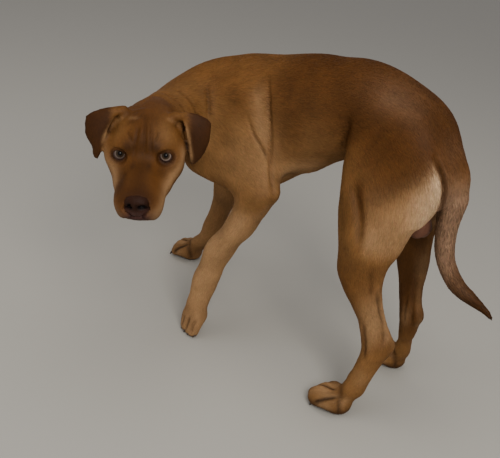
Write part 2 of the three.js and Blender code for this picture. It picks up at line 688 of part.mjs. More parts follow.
// ---------- ears: thin leaves folded over their top edge ----------
// [f, l, u] of the fold's two ends, the tip, the rear root, and bulges of both edges
const earShapes = {
  right: {
    root: [-48, -44, 60], corner: [-45, -97, 43], tip: [-19, -81, -18], rear: [-76, -58, 6],
    inner: [-30, -62, 22], outer: [-33, -103, 8],
  },
  left: {
    root: [-58, 60, 52], corner: [-60, 110, 35], tip: [-38, 81, -33], rear: [-82, 62, 0],
    inner: [-46, 70, 12], outer: [-50, 112, -8],
  },
};
const skullAround = swell(coat.head, GAP * 1.5);
const lerp3 = (a, b, t) => a.map((v, i) => v + (b[i] - v) * t);
for (const [name, e] of Object.entries(earShapes)) {
  const rows = 5;
  const cols = 10;
  const mid = (s, t) => {
    const fold = lerp3(e.root, e.corner, s);
    fold[2] += 5 * Math.sin(Math.PI * s);
    if (t < 0.4) {
      const r = lerp3(e.root, e.rear, 0.15 + 0.85 * s);
      const q = t / 0.4;
      const p = lerp3(r, fold, q);
      p[0] -= 5 * Math.sin(Math.PI * q);
      return p;
    }
    const q = (t - 0.4) / 0.6;
    const c = lerp3(e.inner, e.outer, s);
    const tip = lerp3(e.tip, lerp3(e.tip, e.outer, 0.1), s);
    tip[1] += (s - 0.5) * Math.sign(e.tip[1]) * 7;
    const p = fold.map((v, k) => v * (1 - q) * (1 - q) + 2 * c[k] * q * (1 - q) + tip[k] * q * q);
    p[0] += 4 * Math.sin(Math.PI * q) * Math.sin(Math.PI * s) + 5 * Math.min(1, q * 4) * (1 - q);
    return p;
  };
  const verts = [];
  const tris = [];
  const id = (side, i, j) => side * (rows + 1) * (cols + 1) + i * (cols + 1) + j;
  for (const side of [0, 1]) {
    for (let i = 0; i <= rows; i++) {
      for (let j = 0; j <= cols; j++) {
        const s = i / rows;
        const t = j / cols;
        const p = V(...mid(s, t));
        const ds = V(...mid(Math.min(1, s + 0.01), t)).sub(V(...mid(Math.max(0, s - 0.01), t)));
        const dt = V(...mid(s, Math.min(1, t + 0.01))).sub(V(...mid(s, Math.max(0, t - 0.01))));
        const n = ds.cross(dt).normalize();
        const rim = Math.min(1, 4 * Math.min(s, 1 - s) + 0.5, 4 * (1 - t) + 0.5);
        p.addScaledVector(n, (side ? 1 : -1) * 2.6 * rim);
        verts.push(...headPoint(p.x, p.y, p.z));
      }
    }
  }
  const quad = (a, b, c, d) => tris.push(a, b, c, a, c, d);
  for (let i = 0; i < rows; i++) {
    for (let j = 0; j < cols; j++) {
      quad(id(1, i, j), id(1, i + 1, j), id(1, i + 1, j + 1), id(1, i, j + 1));
      quad(id(0, i, j), id(0, i, j + 1), id(0, i + 1, j + 1), id(0, i + 1, j));
    }
  }
  for (let i = 0; i < rows; i++) {
    quad(id(0, i, 0), id(0, i + 1, 0), id(1, i + 1, 0), id(1, i, 0));
    quad(id(0, i + 1, cols), id(0, i, cols), id(1, i, cols), id(1, i + 1, cols));
  }
  for (let j = 0; j < cols; j++) {
    quad(id(0, 0, j + 1), id(0, 0, j), id(1, 0, j), id(1, 0, j + 1));
    quad(id(0, rows, j), id(0, rows, j + 1), id(1, rows, j + 1), id(1, rows, j));
  }
  let leaf = solid(verts, tris);
  if (leaf.volume() < 0) {
    for (let i = 0; i < tris.length; i += 3) [tris[i], tris[i + 1]] = [tris[i + 1], tris[i]];
    leaf = solid(verts, tris);
  }
  coat[`ear_${name}`] = biggest(leaf.subtract(skullAround));
}

// ---------- scrotum, hanging clear below the groin ----------
let pouch = surface(scrotumField, [250, -50, 320], [330, 60, 430], 11);
for (const k of ['trunk', 'leg_hind_left', 'leg_hind_right', 'tail']) {
  pouch = biggest(pouch.subtract(swell(coat[k], GAP * 1.5)));
}
coat.scrotum = pouch;

// ---------- colours and the finished group ----------
const looks = { eye: [0x8f8a6a, 0.1], nose: [0x4a2c24, 0.45], scrotum: [0x8a5f58, 0.7], tail: [0x6f4a36, 0.85] };
for (const [name, m] of Object.entries(coat)) {
  const look = looks[name.split('_')[0]] ?? [0x8a5230, 0.8];
  add(name, tidy(m), look[0], look[1]);
}
// the origin is on the floor, below the middle of the dog
group.updateMatrixWorld(true);
const bounds = new THREE.Box3().setFromObject(group);
const middle = bounds.getCenter(V());
group.position.set(-middle.x, -middle.y, -bounds.min.z);

export default group;
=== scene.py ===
import math

import bmesh
import bpy
import numpy as np
from mathutils import Matrix, Vector
from mathutils.bvhtree import BVHTree


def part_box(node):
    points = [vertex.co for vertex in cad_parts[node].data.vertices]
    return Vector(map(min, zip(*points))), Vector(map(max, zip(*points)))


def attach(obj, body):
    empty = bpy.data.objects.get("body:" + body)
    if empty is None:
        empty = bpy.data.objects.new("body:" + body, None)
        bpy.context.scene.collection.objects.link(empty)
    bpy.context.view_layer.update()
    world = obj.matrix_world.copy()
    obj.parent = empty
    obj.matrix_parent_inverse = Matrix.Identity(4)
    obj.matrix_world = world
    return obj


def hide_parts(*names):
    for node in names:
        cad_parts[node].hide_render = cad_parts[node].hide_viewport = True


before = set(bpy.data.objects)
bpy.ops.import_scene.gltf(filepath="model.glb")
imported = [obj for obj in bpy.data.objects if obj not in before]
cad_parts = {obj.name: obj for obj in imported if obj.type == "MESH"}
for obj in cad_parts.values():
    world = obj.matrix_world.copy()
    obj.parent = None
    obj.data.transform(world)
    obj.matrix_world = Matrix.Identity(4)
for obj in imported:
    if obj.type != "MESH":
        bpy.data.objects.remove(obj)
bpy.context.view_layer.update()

MM = 0.001

# ---------------------------------------------------------------- floor, light and camera
# The stage: a plain pale floor, three soft lamps and a low sky, and a camera that looks down
# on the dog from its left side.  Nothing here belongs to the dog.
CAMERA_AT = Vector((0.5961, -0.9918, 0.8940))
CAMERA_AZIMUTH, CAMERA_DIP, CAMERA_ROLL = (math.radians(a) for a in (-32.46, 27.35, 9.42))
CAMERA_LENS = 51.65


def look(azimuth, dip, roll):
    ahead = Vector((math.sin(azimuth) * math.cos(dip), math.cos(azimuth) * math.cos(dip), -math.sin(dip)))
    side = Vector((math.cos(azimuth), -math.sin(azimuth), 0))
    top = side.cross(ahead)
    right = side * math.cos(roll) + top * math.sin(roll)
    up = top * math.cos(roll) - side * math.sin(roll)
    return Matrix((right, up, -ahead)).transposed()


camera = bpy.data.objects.new("camera", bpy.data.cameras.new("camera"))
camera.data.lens = CAMERA_LENS
camera.data.sensor_width = 36
camera.matrix_world = Matrix.Translation(CAMERA_AT) @ look(CAMERA_AZIMUTH, CAMERA_DIP, CAMERA_ROLL).to_4x4()
bpy.context.scene.collection.objects.link(camera)
bpy.context.scene.camera = camera


def piece(name, bm, material=None):
    mesh = bpy.data.meshes.new(name)
    bm.to_mesh(mesh)
    bm.free()
    if material:
        mesh.materials.append(material)
    mesh.shade_smooth()
    thing = bpy.data.objects.new(name, mesh)
    bpy.context.scene.collection.objects.link(thing)
    return thing


def finish_of(name, colour, roughness):
    material = bpy.data.materials.new(name)
    material.use_nodes = True
    shader = material.node_tree.nodes["Principled BSDF"]
    shader.inputs["Base Color"].default_value = (*colour, 1)
    shader.inputs["Roughness"].default_value = roughness
    return material, material.node_tree, shader


def fed(tree, node, *numbered, **named):
    """on inputs of a shader node, by number or by name: a constant, or another node's output"""
    for key, value in (*enumerate(numbered), *((k.replace("_", " "), v) for k, v in named.items())):
        if isinstance(value, bpy.types.NodeSocket):
            tree.links.new(value, node.inputs[key])
        else:
            node.inputs[key].default_value = value
    return node


def added(tree, kind, *numbered, operation=None, **named):
    node = tree.nodes.new("ShaderNode" + kind)
    if operation:
        node.operation = operation
    return fed(tree, node, *numbered, **named)


def painted(tree, attribute):
    node = added(tree, "Attribute")
    node.attribute_name = attribute
    return node.outputs["Color"]


def ramped(tree, value, stops):
    """colours that pass into each other as a value grows"""
    ramp = added(tree, "ValToRGB", value)
    while len(ramp.color_ramp.elements) < len(stops):
        ramp.color_ramp.elements.new(0.5)
    for element, (where, colour) in zip(ramp.color_ramp.elements, stops):
        element.position = where
        element.color = (*colour, 1)
    return ramp.outputs["Color"]


FLOOR_SIDE = 14.0
bm = bmesh.new()
bmesh.ops.create_grid(bm, x_segments=2, y_segments=2, size=FLOOR_SIDE / 2)
floor = piece("floor", bm, finish_of("pale floor", (0.44, 0.42, 0.37), 0.9)[0])

world = bpy.data.worlds.new("soft room")
world.use_nodes = True
world.node_tree.nodes["Background"].inputs["Color"].default_value = (0.98, 0.97, 1.0, 1)
world.node_tree.nodes["Background"].inputs["Strength"].default_value = 0.40
bpy.context.scene.world = world
for name, at, size, power, colour in (
    ("key", (1.5, -1.35, 1.9), 1.1, 42, (1.0, 0.97, 0.92)),
    ("ceiling", (-0.1, 0.0, 2.7), 1.8, 17, (1.0, 0.98, 0.95)),
    ("fill", (-1.5, -1.9, 0.9), 2.0, 19, (0.97, 0.98, 1.0)),
):
    lamp = bpy.data.objects.new(name, bpy.data.lights.new(name, "AREA"))
    lamp.data.size = size
    lamp.data.energy = power
    lamp.data.color = colour
    lamp.location = at
    lamp.rotation_euler = (Vector((0, 0, 0.35)) - Vector(at)).to_track_quat("-Z", "Y").to_euler()
    lamp.visible_glossy = name == "key"
    bpy.context.scene.collection.objects.link(lamp)

# ---------------------------------------------------------------- skin: its form
# One living skin over the whole dog, from the nose to the tip of the tail, with no seam.  It is
# taken from the solids, evened out, drawn in by the depth of the coat, and then modelled:
# lids, brows, lips, wrinkles, shoulder, flank, hocks and toes.
FLESH = ("trunk", "neck", "head", "leg_front_left", "leg_front_right", "leg_hind_left", "leg_hind_right",
         "paw_front_left", "paw_front_right", "paw_hind_left", "paw_hind_right", "tail", "ear_left",
         "ear_right", "scrotum")
PARTS = FLESH + ("nose",)
SKIN_CELL = 2.7 * MM
SKIN_SHARE = 0.36
OVERLAP = 0.6 * MM
LID_BALL = 13.2 * MM
EYE_RADIUS = 11.5 * MM


def middle(node):
    low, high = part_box(node)
    return (low + high) / 2


def merged(node, proud):
    part = bmesh.new()
    part.from_mesh(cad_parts[node].data)
    bmesh.ops.remove_doubles(part, verts=part.verts, dist=1e-6)
    part.normal_update()
    moved = [v.co + v.normal * proud for v in part.verts]
    for v, co in zip(part.verts, moved):
        v.co = co
    return part


def gathered(nodes, proud):
    whole = bmesh.new()
    for node in nodes:
        part = merged(node, proud)
        mesh = bpy.data.meshes.new("part")
        part.to_mesh(mesh)
        part.free()
        whole.from_mesh(mesh)
        bpy.data.meshes.remove(mesh)
    return whole


def settled(thing):
    """the mesh of a thing with its modifiers applied, as a thing's own mesh"""
    result = bpy.data.meshes.new_from_object(thing.evaluated_get(bpy.context.evaluated_depsgraph_get()))
    thing.modifiers.clear()
    old = thing.data
    thing.data = result
    bpy.data.meshes.remove(old)
    return thing


def remeshed(name, bm, cell):
    thing = piece(name, bm)
    remesh = thing.modifiers.new("one skin", "REMESH")
    remesh.mode = "VOXEL"
    remesh.voxel_size = cell
    return settled(thing)


def fetched(items, name, width, kind=np.float32):
    values = np.empty(len(items) * width, kind)
    items.foreach_get(name, values)
    return values.reshape(-1, width)


def points(thing):
    return fetched(thing.data.vertices, "co", 3).astype(float)


def normals(thing):
    return fetched(thing.data.vertex_normals, "vector", 3).astype(float)


def put(thing, co):
    thing.data.vertices.foreach_set("co", co.astype(np.float32).ravel())
    thing.data.update()


class Web:
    """the edges of a thing's mesh, for evening out values over its surface"""

    def __init__(self, thing):
        ends = fetched(thing.data.edges, "vertices", 2, np.int32)
        self.a, self.b = ends.T
        self.n = len(thing.data.vertices)
        self.degree = np.maximum(np.bincount(ends.ravel(), minlength=self.n), 1)

    def mean(self, x):
        if x.ndim == 1:
            summed = np.bincount(self.a, x[self.b], self.n) + np.bincount(self.b, x[self.a], self.n)
            return summed / self.degree
        return np.stack([self.mean(x[:, k]) for k in range(x.shape[1])], 1)

    def relax(self, x, times, share=1.0):
        share = np.reshape(share, (-1, 1)) if x.ndim == 2 and np.ndim(share) else share
        for _ in range(times):
            x = x + (self.mean(x) - x) * share
        return x


eye_at = {side: middle(f"eye_{side}") for side in ("left", "right")}
# ---- the head's own frame: f forward, l to its left, u up, in millimetres from between the eyes
head_l = (eye_at["left"] - eye_at["right"]).normalized()
HEAD_HEADING, HEAD_PITCH = math.radians(-51), math.radians(-11)
head_f = Vector((math.cos(HEAD_HEADING) * math.cos(HEAD_PITCH), math.sin(HEAD_HEADING) * math.cos(HEAD_PITCH),
                 math.sin(HEAD_PITCH)))
head_f = (head_f - head_l * head_f.dot(head_l)).normalized()
head_u = head_f.cross(head_l)
EYE_BACK = 6.0
head_at = (eye_at["left"] + eye_at["right"]) / 2 + head_f * EYE_BACK * MM
HEAD_AXES = np.array([head_f, head_l, head_u])
AHEAD, ASIDE, ABOVE = HEAD_AXES


def in_head(co):
    return (co - np.array(head_at)) @ HEAD_AXES.T / MM


def from_head(f, l, u):
    return head_at + (head_f * f + head_l * l + head_u * u) * MM


whole = gathered(PARTS, OVERLAP)
for at in eye_at.values():
    bmesh.ops.create_icosphere(whole, subdivisions=3, radius=LID_BALL, matrix=Matrix.Translation(at))


def stuffed(bm, start, end, wide, narrow):
    """a row of balls from one place to another, to fill what the solids leave open"""
    for k in range(7):
        at = start.lerp(end, k / 6)
        bmesh.ops.create_icosphere(bm, subdivisions=2, radius=(wide + (narrow - wide) * k / 6) * MM,
                                   matrix=Matrix.Translation(at))


# the gristle that each ear grows from, and the front fold of the ear that runs down beside the skull
stuffed(whole, from_head(-56, -34, 50), from_head(-47, -60, 53), 11, 7)
stuffed(whole, from_head(-50, -52, 46), from_head(-36, -66, 16), 8, 4)
stuffed(whole, from_head(-62, 46, 42), from_head(-60, 66, 42), 11, 7)
stuffed(whole, from_head(-64, 58, 34), from_head(-56, 66, -2), 7, 4)
skin = remeshed("skin", whole, SKIN_CELL)

# which node each point of the skin lies on
faces_of = []
lookup = bmesh.new()
for number, node in enumerate(PARTS):
    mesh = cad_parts[node].data
    lookup.from_mesh(mesh)
    faces_of += [number] * len(mesh.polygons)
tree = BVHTree.FromBMesh(lookup)
lookup.free()
faces_of = np.array(faces_of)


def nearest_node(co):
    return faces_of[[tree.find_nearest(p)[2] for p in co.tolist()]]


def share_of(node_at, web, words, times=8):
    chosen = [i for i, node in enumerate(PARTS) if any(word in node for word in words)]
    return web.relax(np.isin(node_at, chosen).astype(float), times)


web = Web(skin)
on = nearest_node(points(skin))
broad = share_of(on, web, ("trunk", "neck"))
limbs = share_of(on, web, ("leg_", "tail"))
fine = share_of(on, web, ("head", "paw", "scrotum", "nose"))
leaves = share_of(on, web, ("ear",), 4)
fore = share_of(on, web, ("leg_front",), 60)
co = points(skin)
co = web.relax(co, 60, broad ** 2)
co = web.relax(co, 16, np.clip(broad + limbs, 0, 1))
co = web.relax(co, 40, fore)
co = web.relax(co, 12, 0.5 * fine * (1 - leaves))
co = web.relax(co, 4, 0.4 * leaves)
put(skin, co)
COAT_DEPTH = 1.1 * MM
inwards = COAT_DEPTH * (broad + 0.8 * limbs) + 0.5 * MM * fine - 4.2 * MM * fore
put(skin, co - normals(skin) * inwards[:, None])

skin_tree = BVHTree.FromPolygons(points(skin).tolist(), [list(p.vertices) for p in skin.data.polygons])


def on_skin(line):
    """a line of places with a place added half way along each length, all moved on to the skin"""
    line = np.array(line, float)
    line = np.insert(line, range(1, len(line)), (line[1:] + line[:-1]) / 2, axis=0)
    return [tuple(skin_tree.find_nearest(Vector(p) * MM)[0] / MM) for p in line]


def other_side(line):
    """the same line on the other side of the dog's middle plane"""
    return [(x, 2 * MIDDLE_Y - y, z) for x, y, z in line]


# every crease of the body: a line, how deep and how wide, in millimetres in the dog's frame
MIDDLE_Y = 124
BESIDE_TAIL = [(238, 78, 510), (247, 77, 498), (258, 76, 484), (267, 75, 466), (270, 76, 446), (266, 80, 424),
               (254, 88, 404)]
CREASES = {name: (on_skin(line), depth, width) for name, line, depth, width in (
    ("behind left shoulder", [(-104, 88, 540), (-85, 72, 512), (-72, 65, 480), (-62, 61, 447), (-54, 57, 414),
                              (-45, 53, 385), (-38, 50, 366), (-29, 44, 344), (-28, 43, 330)], 4.6, 3.2),
    ("left shoulder", [(-113, 53, 469), (-92, 48, 445), (-68, 51, 420), (-55, 52, 405)], 2.2, 2.6),
    ("behind right shoulder", [(-150, 246, 500), (-172, 242, 445), (-188, 234, 390), (-196, 230, 352)],
     4.0, 4.0),
    ("neck, upper", [(-212, 47, 506), (-200, 40, 470), (-191, 34, 445)], 3.2, 3.2),
    ("neck, foremost", [(-222, -76, 500), (-206, -66, 492), (-196, -58, 478)], 3.2, 2.8),
    ("neck, second", [(-236, -52, 505), (-214, -44, 494), (-202, -36, 474), (-196, -30, 450)], 3.4, 3.0),
    ("neck, third", [(-240, -20, 506), (-222, -12, 494), (-208, -4, 474), (-200, 4, 446)], 2.8, 3.2),
    ("left thigh", [(145, 31, 435), (154, 24, 415), (165, 18, 393), (174, 11, 371), (185, -1, 346)],
     5.6, 5.4),
    ("right thigh", [(140, 224, 432), (159, 236, 406), (172, 243, 380), (181, 247, 362), (189, 245, 345)],
     4.4, 4.0),
    ("left of the tail", BESIDE_TAIL, 9.0, 3.4),
    ("right of the tail", other_side(BESIDE_TAIL), 9.0, 3.4),
    ("left shank", [(205, 12, 318), (212, 16, 288), (218, 20, 256)], 2.6, 4.0),
    ("left hock, outer", [(223, 28, 262), (230, 37, 237), (240, 42, 207), (249, 39, 184), (254, 34, 166)],
     5.2, 3.6),
    ("left hock, inner", [(222, 52, 262), (233, 58, 235), (243, 60, 204), (254, 60, 172)], 4.6, 3.4),
    ("right hock, inner", [(230, 187, 245), (235, 187, 209), (242, 182, 181), (249, 179, 154),
                           (253, 184, 134)], 5.0, 3.2),
    ("right hock, outer", [(228, 221, 262), (239, 218, 230), (247, 214, 200), (254, 212, 168)], 4.8, 3.4),
    ("left hock, front", [(213, 28, 196), (219, 28, 172), (228, 26, 150), (237, 25, 128)], 3.4, 2.8),
    ("right hock, front", [(228, 186, 195), (232, 183, 162), (238, 184, 136)], 2.8, 2.4),
    ("left flank", [(77, 78, 526), (77, 81, 504), (74, 85, 475), (62, 96, 455)], 5.5, 6.0),
    ("right flank", [(84, 214, 522), (80, 212, 490), (92, 207, 466)], 5.0, 7.0),
    ("left fore leg", [(-57, 36, 322), (-80, 28, 262), (-106, 20, 200)], 1.8, 4.5),
    ("right fore leg", [(-224, 232, 322), (-238, 237, 262), (-256, 234, 200)], 1.8, 4.5),
    ("left armpit", [(-92, 24, 350), (-66, 24, 332), (-50, 26, 316)], 1.2, 7.0),
)}


def off_line(q, line):
    """how far each point is from a line of straight lengths, and how far along it, from 0 to 1"""
    line = np.array(line, float)
    steps = np.diff(line, axis=0)
    lengths = np.linalg.norm(steps, axis=1)
    far, along, gone = np.full(len(q), 1e9), np.zeros(len(q)), 0.0
    for start, step, length in zip(line[:-1], steps, lengths):
        t = np.clip((q - start) @ step / length ** 2, 0, 1)
        d = np.linalg.norm(q - start - t[:, None] * step, axis=1)
        along = np.where(d < far, (gone + t * length) / lengths.sum(), along)
        far = np.minimum(far, d)
        gone += length
    return far, along


# the broad parts need fewer faces than the head, the paws and the creases
plain = skin.vertex_groups.new(name="plain")
rough = np.clip(1 - (fine * 1.1 + leaves * 1.6), 0, 1)
spots = points(skin) / MM
for line, depth, width in CREASES.values():
    rough *= off_line(spots, line)[0] > 2.2 * width + 3
for step in range(1, 11):
    chosen = np.flatnonzero(np.ceil(rough * 10) == step)
    plain.add(chosen.tolist(), step / 10, "REPLACE")
thin = skin.modifiers.new("thin", "DECIMATE")
thin.ratio = SKIN_SHARE
thin.vertex_group = "plain"
thin.vertex_group_factor = 1.0
settled(skin)
skin.vertex_groups.clear()

# the face and the paws get faces half as long
bm = bmesh.new()
bm.from_mesh(skin.data)
co = points(skin)
spot = in_head(co)
face = (spot[:, 0] > -20) & (np.abs(spot[:, 1]) < 58) & (np.abs(spot).max(1) < 125)
foot = co[:, 2] < 0.036
chosen = face | foot
bm.verts.ensure_lookup_table()
bmesh.ops.subdivide_edges(bm, edges=[e for e in bm.edges if all(chosen[v.index] for v in e.verts)], cuts=1)
bmesh.ops.triangulate(bm, faces=[f for f in bm.faces if len(f.verts) > 4])
bm.to_mesh(skin.data)
bm.free()
web = Web(skin)
co = points(skin)
spot = in_head(co)
near_face = ((spot[:, 0] > -40) & (np.abs(spot) < 130).all(1)) | (co[:, 2] < 0.05)
put(skin, web.relax(co, 4, 0.6 * web.relax(near_face.astype(float), 3)))
skin.data.shade_smooth()

# ---------------------------------------------------------------- skin: modelled with hills and folds
# Hills and folds are pressed into the skin or raised from it along its normals, in millimetres: a
# hill round a place and a fold, a low ridge or groove, along a line of places.


def hill(q, at, size):
    """1 at a place, falling away over a size"""
    return np.exp(-0.5 * (((q - np.array(at, float)) / np.array(size, float)) ** 2).sum(1))


def fold(q, line, width, tapered=True):
    far, along = off_line(q, line)
    ends = np.clip(np.minimum(along, 1 - along) / 0.18, 0, 1) if tapered else 1
    return np.exp(-0.5 * (far / width) ** 2) * (ends * 0.75 + 0.25 if tapered else 1)


def paired(spot):
    return np.stack([spot[:, 0], np.abs(spot[:, 1]), spot[:, 2]], 1)


def step_up(x, low, high):
    t = np.clip((x - low) / (high - low), 0, 1)
    return t * t * (3 - 2 * t)


def formed(q, *rows):
    """hills and folds together: how high each is, or which way it moves, where it is and how wide"""
    return sum(np.multiply.outer((hill if isinstance(where, tuple) else fold)(q, where, *size), height)
               for height, where, *size in rows)


co = points(skin)
spot = in_head(co)
both = paired(spot)
EAR_GAP_LEFT = [(-54, 58, 38), (-60, 61.5, 29), (-60, 64, 18), (-48, 67, 8), (-41, 69, 0), (-39, 71, -10)]
EAR_GAP_RIGHT = [(-47, -41, 52), (-42, -50, 38), (-38, -57, 25), (-33, -62, 12), (-29, -64, 3)]
SKULL_EDGE = [(-48, 38.5, 43.5), (-51, 46, 38), (-58, 53, 29.5), (-58.5, 57.5, 22.5), (-55, 62, 14),
              (-50, 64, 8)]
MOUTH = [(100, 0, -47), (95, 13, -53), (86, 26, -60), (68, 35, -64), (44, 40, -65), (18, 45, -63),
         (-4, 50, -58)]
UPPER_LIP = [(f, l * 1.04, u + 5) for f, l, u in MOUTH]
# on both sides alike: brows, occiput, stop, inner corners, cheeks, temples, muzzle, whisker pads and lips
lift = formed(
    both,
    (1.8, (-4, 24, 28), (12, 9, 7)), (1.4, (-10, 42, 22), (14, 12, 7)), (-5.5, (-84, 0, 62), (28, 34, 18)),
    (-1.8, (14, 0, 10), (14, 9, 12)), (-1.6, (22, 26, -6), (12, 9, 8)), (2.0, (0, 55, -16), (18, 9, 12)),
    (-2.4, (-28, 50, 24), (16, 12, 12)), (-1.6, (46, 32, -16), (16, 7, 9)),
    (2.0, (76, 25, -38), (14, 11, 11)), (-3.2, MOUTH, 1.7, False), (1.2, UPPER_LIP, 3.5, False),
    (-1.8, [(99, 0, -40), (101, 0, -47)], 1.3, False),
)
# on one side: the nape, which is bent, the roots of the ears and the gaps between ears and skull
lift += formed(
    spot, (-6.5, [(-60, -18, 55), (-90, -17, 60), (-124, -22, 48)], 14),
    (5.0, [(-146, 13, 38), (-165, 12, 32), (-186, 10, 24)], 13),
    (-4.5, [(-98, -26, 42), (-117, -15, 44), (-128, -5, 46)], 10),
    (-5.5, [(-104, -27, 34), (-118, -14, 36), (-136, 3, 39)], 13), (4.0, (-54, -40, 57), (12, 11, 9)),
    (1.0, SKULL_EDGE, 2.6), (-3.5, EAR_GAP_LEFT, 3.0), (-2.5, EAR_GAP_RIGHT, 2.0),
)
# the worried furrows between the brows
FURROWS = (
    [(-42, 4, 57), (-12, 5, 45), (3, 5.5, 30), (12, 4, 14)],
    [(-20, 14, 48), (-5, 15, 38), (5, 15, 24), (13, 16, 10)],
    [(-18, -6, 48), (-3, -8, 38), (7, -11, 20), (14, -12, 8)],
    [(-12, -24, 39), (-4, -19, 34), (3, -14, 27)],
    [(-14, 27, 40), (-6, 25, 34), (1, 21, 29)],
    [(-24, -27, 45), (-30, -15, 52), (-38, -3, 55)],
    [(-38, -35, 46), (-46, -24, 54), (-54, -10, 57)],
)
for line, depth in zip(FURROWS, (2.3, 1.9, 1.9, 1.5, 1.5, 1.2, 1.2)):
    lift -= depth * fold(spot, line, 2.1)
    lift += 0.45 * depth * fold(spot, line, 5.5)
put(skin, co + normals(skin) * lift[:, None] * MM)
# the skin stays well below the bare nose pad
co = points(skin)
web = Web(skin)
on = nearest_node(co)
under_nose = np.clip(share_of(on, web, ("nose",), 3) * 1.6 - 0.6, 0, 1)
put(skin, co - AHEAD * (1.0 * MM * under_nose)[:, None])
# the ears and lips hang, and the right ear and left cheek stand out to the side
co = points(skin)
spot = in_head(co)
drop = formed(
    spot, (5.0, (-19, -80, -14), (12, 12, 13)), (5.0, (-38, 82, -30), (12, 10, 12)),
    (2.6, (-52, -43, 62), (9, 8, 7)), (-2.4, (-52, -31, 57), (7, 5, 6)),
    (6.0, (86, 26, -54), (22, 13, 12)), (4.0, (86, -24, -52), (20, 12, 12)),
    (1.5, (92, 0, -56), (12, 9, 8)),
)
near = formed(spot, (7.5, (-22, -97, -1), (16, 13, 9)), (-2.5, (-38, 79, -20), (12, 7, 12)),
              (4.5, (-12, 59, -36), (18, 11, 14)))
put(skin, co - (ABOVE * drop[:, None] - ASIDE * near[:, None]) * MM)

# ---------------------------------------------------------------- nose
# The bare nose pad: moist, liver-brown, finely pebbled, with two comma-shaped nostrils and a
# groove down the middle.
nose = remeshed("nose_pad", gathered(("nose",), 0.2 * MM), 0.9 * MM)
co = Web(nose).relax(points(nose), 10, 0.7)
# its foot stands forward and wide, its top is drawn in, and so is its waist
spot = in_head(co)
lower = step_up(-spot[:, 2], 20, 36)
co = co + lower[:, None] * (AHEAD * 2.0 - ABOVE * 3.0 + ASIDE * 0.42 * spot[:, 1:2]) * MM
spot = in_head(co)
upper = step_up(spot[:, 2], -40, -28)[:, None]
co = co - upper * (ASIDE * 0.11 * spot[:, 1:2] + ABOVE * 0.13 * (spot[:, 2:] + 27)) * MM
waist = np.exp(-0.5 * ((spot[:, 2] + 31) / 5) ** 2)
co = co - ASIDE * (0.11 * MM * spot[:, 1] * waist)[:, None]
put(nose, co)
spot = in_head(co)
both = paired(spot)
nostrils = formed(spot, (1, (102, 8.5, -28.5), (8, 4.4, 2.9)), (1, (102, -11, -28.5), (8, 2.7, 3.7)))
nostrils += formed(both, (0.5, [(100, 12, -29), (97, 17, -32), (92, 19, -36)], 1.4))
lift = -6.5 * nostrils + formed(both, (1.2, [(101, 5, -24), (99, 12, -23), (95, 16, -28)], 2.2),
                                (-1.6, [(103, 0, -24), (103, 0, -36), (99, 0, -48)], 1.0, False))
put(nose, co + normals(nose) * lift[:, None] * MM)
nose.data.shade_smooth()
# the nostrils are painted near black: painted shade in their pits
LEATHER, NOSTRIL_SHADE, LEATHER_BELOW = (np.array(c) for c in ((0.028, 0.0110, 0.0062), (0.004, 0.002, 0.002),
                                                         (0.070, 0.029, 0.023)))
dark = np.clip(nostrils * 2.0, 0, 1)[:, None]
shade = LEATHER * (1 - dark) + NOSTRIL_SHADE * dark
shade = shade + (LEATHER_BELOW - shade) * (0.85 * step_up(-spot[:, 2], 31, 42))[:, None]


def coloured(mesh, name, colour):
    """a colour at each point of a mesh, as a named attribute"""
    layer = mesh.color_attributes.new(name, "FLOAT_COLOR", "POINT")
    layer.data.foreach_set("color", np.c_[colour, np.ones(len(colour))].astype(np.float32).ravel())


coloured(nose.data, "pad", shade)
nose_material, tree, shader = finish_of("moist nose leather", LEATHER, 0.46)
place = added(tree, "TexCoord").outputs["Object"]
pebbles = added(tree, "TexVoronoi", Vector=place, Scale=900).outputs["Distance"]
relief = added(tree, "Bump", Height=pebbles, Strength=0.5, Distance=0.0006).outputs["Normal"]
fed(tree, shader, Base_Color=painted(tree, "pad"), Normal=relief, Specular_IOR_Level=0.09)
nose.data.materials.append(nose_material)
# the skin is set back wherever the pad covers it
pad = BVHTree.FromPolygons(points(nose).tolist(), [list(p.vertices) for p in nose.data.polygons])
co = points(skin)
spot = in_head(co)
back = np.zeros(len(co))
muzzle = (spot[:, 0] > 70) & (np.abs(spot[:, 1]) < 26) & (spot[:, 2] > -52) & (spot[:, 2] < 0)
for i in np.flatnonzero(muzzle):
    found = pad.ray_cast(Vector(co[i]) + head_f * 30 * MM, -head_f, 60 * MM)[0]
    if found:
        back[i] = max(0.0, spot[i, 0] - in_head(np.array(found)[None])[0, 0] + 2.0)
back = np.minimum(web.relax(back, 2), back + 1.0)
put(skin, co - AHEAD * (back * MM)[:, None])
under_nose = np.maximum(under_nose, back > 0.2)
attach(nose, "root")
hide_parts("nose")
